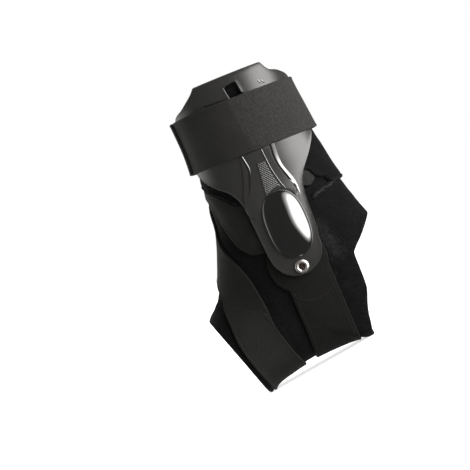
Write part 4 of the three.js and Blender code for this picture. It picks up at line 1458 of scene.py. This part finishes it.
class MESH_OT_brace_rivets(PieceOperator, bpy.types.Operator):
    """Add the tubular rivets"""

    bl_idname = "mesh.brace_rivets"
    bl_label = "Rivets"

    # the rivet's section, from the shank outwards and over the head to the hollow: radius, height
    SECTION = (
        (0.0, -RIVET_DEPTH), (RIVET_SHANK_RADIUS, -RIVET_DEPTH), (RIVET_SHANK_RADIUS, 0.0), (5.35, 0.0),
        (RIVET_RADIUS, 0.25), (5.55, 0.7), (5.2, 1.25), (4.6, 1.7), (3.9, 1.95), (3.3, 1.9), (2.9, 1.6),
        (2.55, 1.1), (2.2, 0.5), (1.9, 0.1), (0.0, 0.0),
    )
    DENTS = 6
    DENT_DEPTH = 0.28
    HOLLOW = (2.6, -0.5)  # its radius, and how far down it goes

    def make(self, sizes, colours):
        at, turn = locate([(RIVET_X, RIVET_Z)], SHELL_TOP)
        normal = Vector(outward(at, turn)[0])
        centre = Vector(to_row(raised(at, turn, SHELL_TOP + GAP))[0])
        turning = Vector((0, 0, 1)).rotation_difference(normal).to_matrix().to_4x4()
        for name, side in SIDES:
            mesh = bpy.data.meshes.new(name + "_rivet_metal")
            points = [(radius * MM, 0, height * MM) for radius, height in self.SECTION]
            mesh.from_pydata(points, [(i, i + 1) for i in range(len(points) - 1)], [])
            piece = added(name + "_rivet_metal", mesh)
            select_only(piece)
            bpy.ops.object.mode_set(mode="EDIT")
            bpy.ops.mesh.select_all(action="SELECT")
            bpy.ops.mesh.spin(steps=48, angle=2 * math.pi, center=(0, 0, 0), axis=(0, 0, 1))
            bpy.ops.mesh.select_all(action="SELECT")
            bpy.ops.mesh.remove_doubles(threshold=1e-6)
            bpy.ops.mesh.normals_make_consistent(inside=False)
            bpy.ops.object.mode_set(mode="OBJECT")
            self.dent(mesh)
            mesh.transform(Matrix.Translation(centre) @ turning)
            radius, floor = self.HOLLOW
            hollow = []
            for polygon in mesh.polygons:
                away = Vector(polygon.center) - centre
                up = away.dot(normal)
                hollow.append((away - up * normal).length < radius * MM and up > floor * MM)
            if side > 0:
                mesh.transform(Matrix.Diagonal((1, -1, 1, 1)))
                mesh.flip_normals()
            kinds = [material("chrome", colours), material("copper", colours)]
            finish_piece(piece, kinds, name + "_rivet")
            mesh.polygons.foreach_set("material_index", hollow)

    def dent(self, mesh):
        """Presses the folds of a rolled edge into the rim of the hollow."""
        for vertex in mesh.vertices:
            radius = math.hypot(vertex.co.x, vertex.co.y) / MM
            angle = math.atan2(vertex.co.y, vertex.co.x)
            if 1 < radius / RIVET_HOLE_RADIUS < 2 and vertex.co.z > 0:
                fold = (0.5 + 0.5 * math.cos(self.DENTS * angle + 0.4)) ** 6
                vertex.co.z -= self.DENT_DEPTH * MM * fold


class MESH_OT_brace_top_strap(PieceOperator, bpy.types.Operator):
    """Add the wide strap round the cuff and its free end"""

    bl_idname = "mesh.brace_top_strap"
    bl_label = "Top strap"

    def make(self, sizes, colours):
        def edge(point, at, turn):
            return strap_cover(*side_view(point))

        def end_edge(point, at, turn):
            x, y, z = np.moveaxis(point, -1, 0)
            along = np.where(y < 0, y + STRAP_END_FRONT, BRACE_DEPTH)
            return np.minimum.reduce([strap_cover(x, z), STRAP_END_BACK - x, along])

        self.strap("top_strap", edge, (-180, 180), WRAP_BOTTOM, colours)
        self.strap("top_strap_end", end_edge, (-150, 100), END_BOTTOM, colours)

    def strap(self, node, edge, turns, low, colours):
        region = Region(edge, (0, 5), turns, 2.0, rings=(0.15, 0.5, 1.0, 2.0))
        high = low + STRAP_THICKNESS * soft_edge(region.depth, 0.8) + 0.22 * ridge(region.depth, 1.1, 0.6)
        uv = region.uv()
        uv[:, 1] = across_strap(*side_view(region.points(low))) * MM
        piece = region_piece(node + "_elastic", region, high, low, uv=uv)
        finish_piece(piece, [material("cuff", colours)], node)
        area = region.area(low + STRAP_THICKNESS)


class MESH_OT_brace_stitching(PieceOperator, bpy.types.Operator):
    """Add the sewn lines and the bar-tack"""

    bl_idname = "mesh.brace_stitching"
    bl_label = "Stitching"

    def make(self, sizes, colours):
        thread = [material("thread", colours)]
        top = CLOTH_BOTTOM + BAND_THICKNESS + 0.35
        angle = np.radians(np.linspace(207, 333, 90))
        lines = [np.stack([LOBE_X + ARC_RADIUS * np.cos(angle), ARC_Z + ARC_RADIUS * np.sin(angle)], -1)]
        down = np.linspace(ARC_Z - 9, 4, 60)
        middle = BAND_X - (LOBE_Z - down) * math.tan(math.radians(BAND_TILT))
        for way in (-1, 1):
            lines.append(np.stack([middle + way * (BAND_WIDTH / 2 - BAND_HEM), down], -1))
        for name, side in SIDES:
            rows = []
            for line in lines:
                at, turn = locate(line, top)
                rows.append(sewn_line("stitches", at, -side * turn, top, sizes.stitch_pitch / MM))
            finish_piece(joined(name + "_band_stitches", rows), thread)
        finish_piece(self.bar_tack(), thread)

    def bar_tack(self):
        """A short close zigzag on the lower strap's back edge."""
        x, first, last = BAR_TACK
        steps = np.arange(15)
        zigzag = np.stack([x + 0.5 * (-1.0) ** steps, np.linspace(first, last, len(steps))], -1)
        top = CLOTH_BOTTOM + STRAP_THICKNESS + 0.45
        return sewn_line("bar_tack", *locate(zigzag, top), top, pitch=0.9, length=1.3)


class SCENE_OT_brace_stage(bpy.types.Operator):
    """Add the floor, the lights and the camera"""

    bl_idname = "scene.brace_stage"
    bl_label = "Stage"

    def execute(self, context):
        scene = context.scene
        self.floor(scene.brace_colours)
        self.studio(scene.brace_stage)
        self.camera(scene)
        return {"FINISHED"}

    def floor(self, colours):
        bpy.ops.object.select_all(action="DESELECT")
        bpy.ops.mesh.primitive_circle_add(vertices=96, radius=9.0, fill_type="NGON", location=(0, 0, 0))
        floor = active_as("stage_floor")
        bpy.ops.object.mode_set(mode="EDIT")
        bpy.ops.mesh.select_all(action="SELECT")
        bpy.ops.mesh.extrude_region_move(TRANSFORM_OT_translate={"value": (0, 0, -0.01)})
        bpy.ops.mesh.select_all(action="SELECT")
        bpy.ops.mesh.normals_make_consistent(inside=False)
        bpy.ops.object.mode_set(mode="OBJECT")
        floor.data.materials.append(material("floor", colours))
        floor.visible_glossy = False

    def studio(self, stage):
        """A soft light from the heel's side with a lamp in it, a pale wall behind, and faint light around."""
        world = bpy.data.worlds.new("studio")
        bpy.context.scene.world = world
        world.use_nodes = True
        nodes = Nodes(world.node_tree)
        direction = nodes.node("TexCoord", output="Generated")

        def glow(towards, edge, full):
            values = {0: direction, 1: towards}
            facing = nodes.node("VectorMath", {"operation": "DOT_PRODUCT"}, values, output="Value")
            values = {"Value": facing, "From Min": edge, "From Max": full}
            return nodes.node("MapRange", {"interpolation_type": "SMOOTHSTEP"}, values)

        strength = sum((glow(*rest) * getattr(stage, name) for name, *rest in GLOWS), stage.room)
        lit = nodes.node("Background", None, {"Color": (1.0, 0.99, 0.975, 1), "Strength": strength})
        seen = nodes.node("Background", None, {"Color": (1, 1, 1, 1), "Strength": 1.0})
        straight = nodes.node("LightPath", output="Is Camera Ray")
        both = nodes.node("MixShader", None, {0: straight, 1: lit, 2: seen})
        nodes.feed(nodes.tree.nodes["World Output"].inputs["Surface"], both)

    def camera(self, scene):
        """The photograph's camera: level with the brace, from its inner side, and rolled."""
        roll = math.radians(CAMERA_ROLL)
        right = Vector((math.cos(roll), 0, -math.sin(roll)))
        up = Vector((math.sin(roll), 0, math.cos(roll)))
        back = Vector((0, -1, 0))
        data = bpy.data.cameras.new("camera")
        data.sensor_width = 36
        data.lens = 36 * CAMERA_DISTANCE / VIEW_WIDTH
        data.clip_end = 20
        camera = bpy.data.objects.new("camera", data)
        turning = Matrix((right, up, back)).transposed().to_4x4()
        camera.matrix_world = Matrix.Translation(Vector(VIEW_MIDDLE) + back * CAMERA_DISTANCE) @ turning
        bpy.context.collection.objects.link(camera)
        scene.camera = camera
        scene.view_settings.view_transform = "Standard"


class VIEW3D_PT_brace(bpy.types.Panel):
    """Lists the brace's pieces, sizes and colours"""

    bl_idname = "VIEW3D_PT_brace"
    bl_label = "Ankle brace"
    bl_space_type = "VIEW_3D"
    bl_region_type = "UI"
    bl_category = "Brace"

    def draw(self, context):
        for operator in OPERATORS:
            self.layout.operator(operator.bl_idname)
        for group in (context.scene.brace_sizes, context.scene.brace_colours, context.scene.brace_stage):
            box = self.layout.box()
            for name in group.__annotations__:
                box.prop(group, name)


GROUPS = {"brace_sizes": BraceSizes, "brace_colours": BraceColours, "brace_stage": StageSettings}
OPERATORS = (
    MESH_OT_brace_sleeve,
    MESH_OT_brace_collar,
    MESH_OT_brace_pads,
    MESH_OT_brace_band,
    MESH_OT_brace_lower_strap,
    MESH_OT_brace_shells,
    MESH_OT_brace_trim,
    MESH_OT_brace_domes,
    MESH_OT_brace_rivets,
    MESH_OT_brace_top_strap,
    MESH_OT_brace_stitching,
    SCENE_OT_brace_stage,
)


def register():
    for group in (*GROUPS.values(), *OPERATORS, VIEW3D_PT_brace):
        bpy.utils.register_class(group)
    for name, group in GROUPS.items():
        setattr(bpy.types.Scene, name, PointerProperty(type=group))


def unregister():
    for name in GROUPS:
        delattr(bpy.types.Scene, name)
    for group in (VIEW3D_PT_brace, *reversed(OPERATORS), *GROUPS.values()):
        bpy.utils.unregister_class(group)


def main():
    register()
    bpy.ops.mesh.brace_sleeve()
    bpy.ops.mesh.brace_collar()
    bpy.ops.mesh.brace_pads()
    bpy.ops.mesh.brace_band()
    bpy.ops.mesh.brace_lower_strap()
    bpy.ops.mesh.brace_shells()
    bpy.ops.mesh.brace_trim()
    bpy.ops.mesh.brace_domes()
    bpy.ops.mesh.brace_rivets()
    bpy.ops.mesh.brace_top_strap()
    bpy.ops.mesh.brace_stitching()
    bpy.ops.scene.brace_stage()


if __name__ == "__main__":
    main()
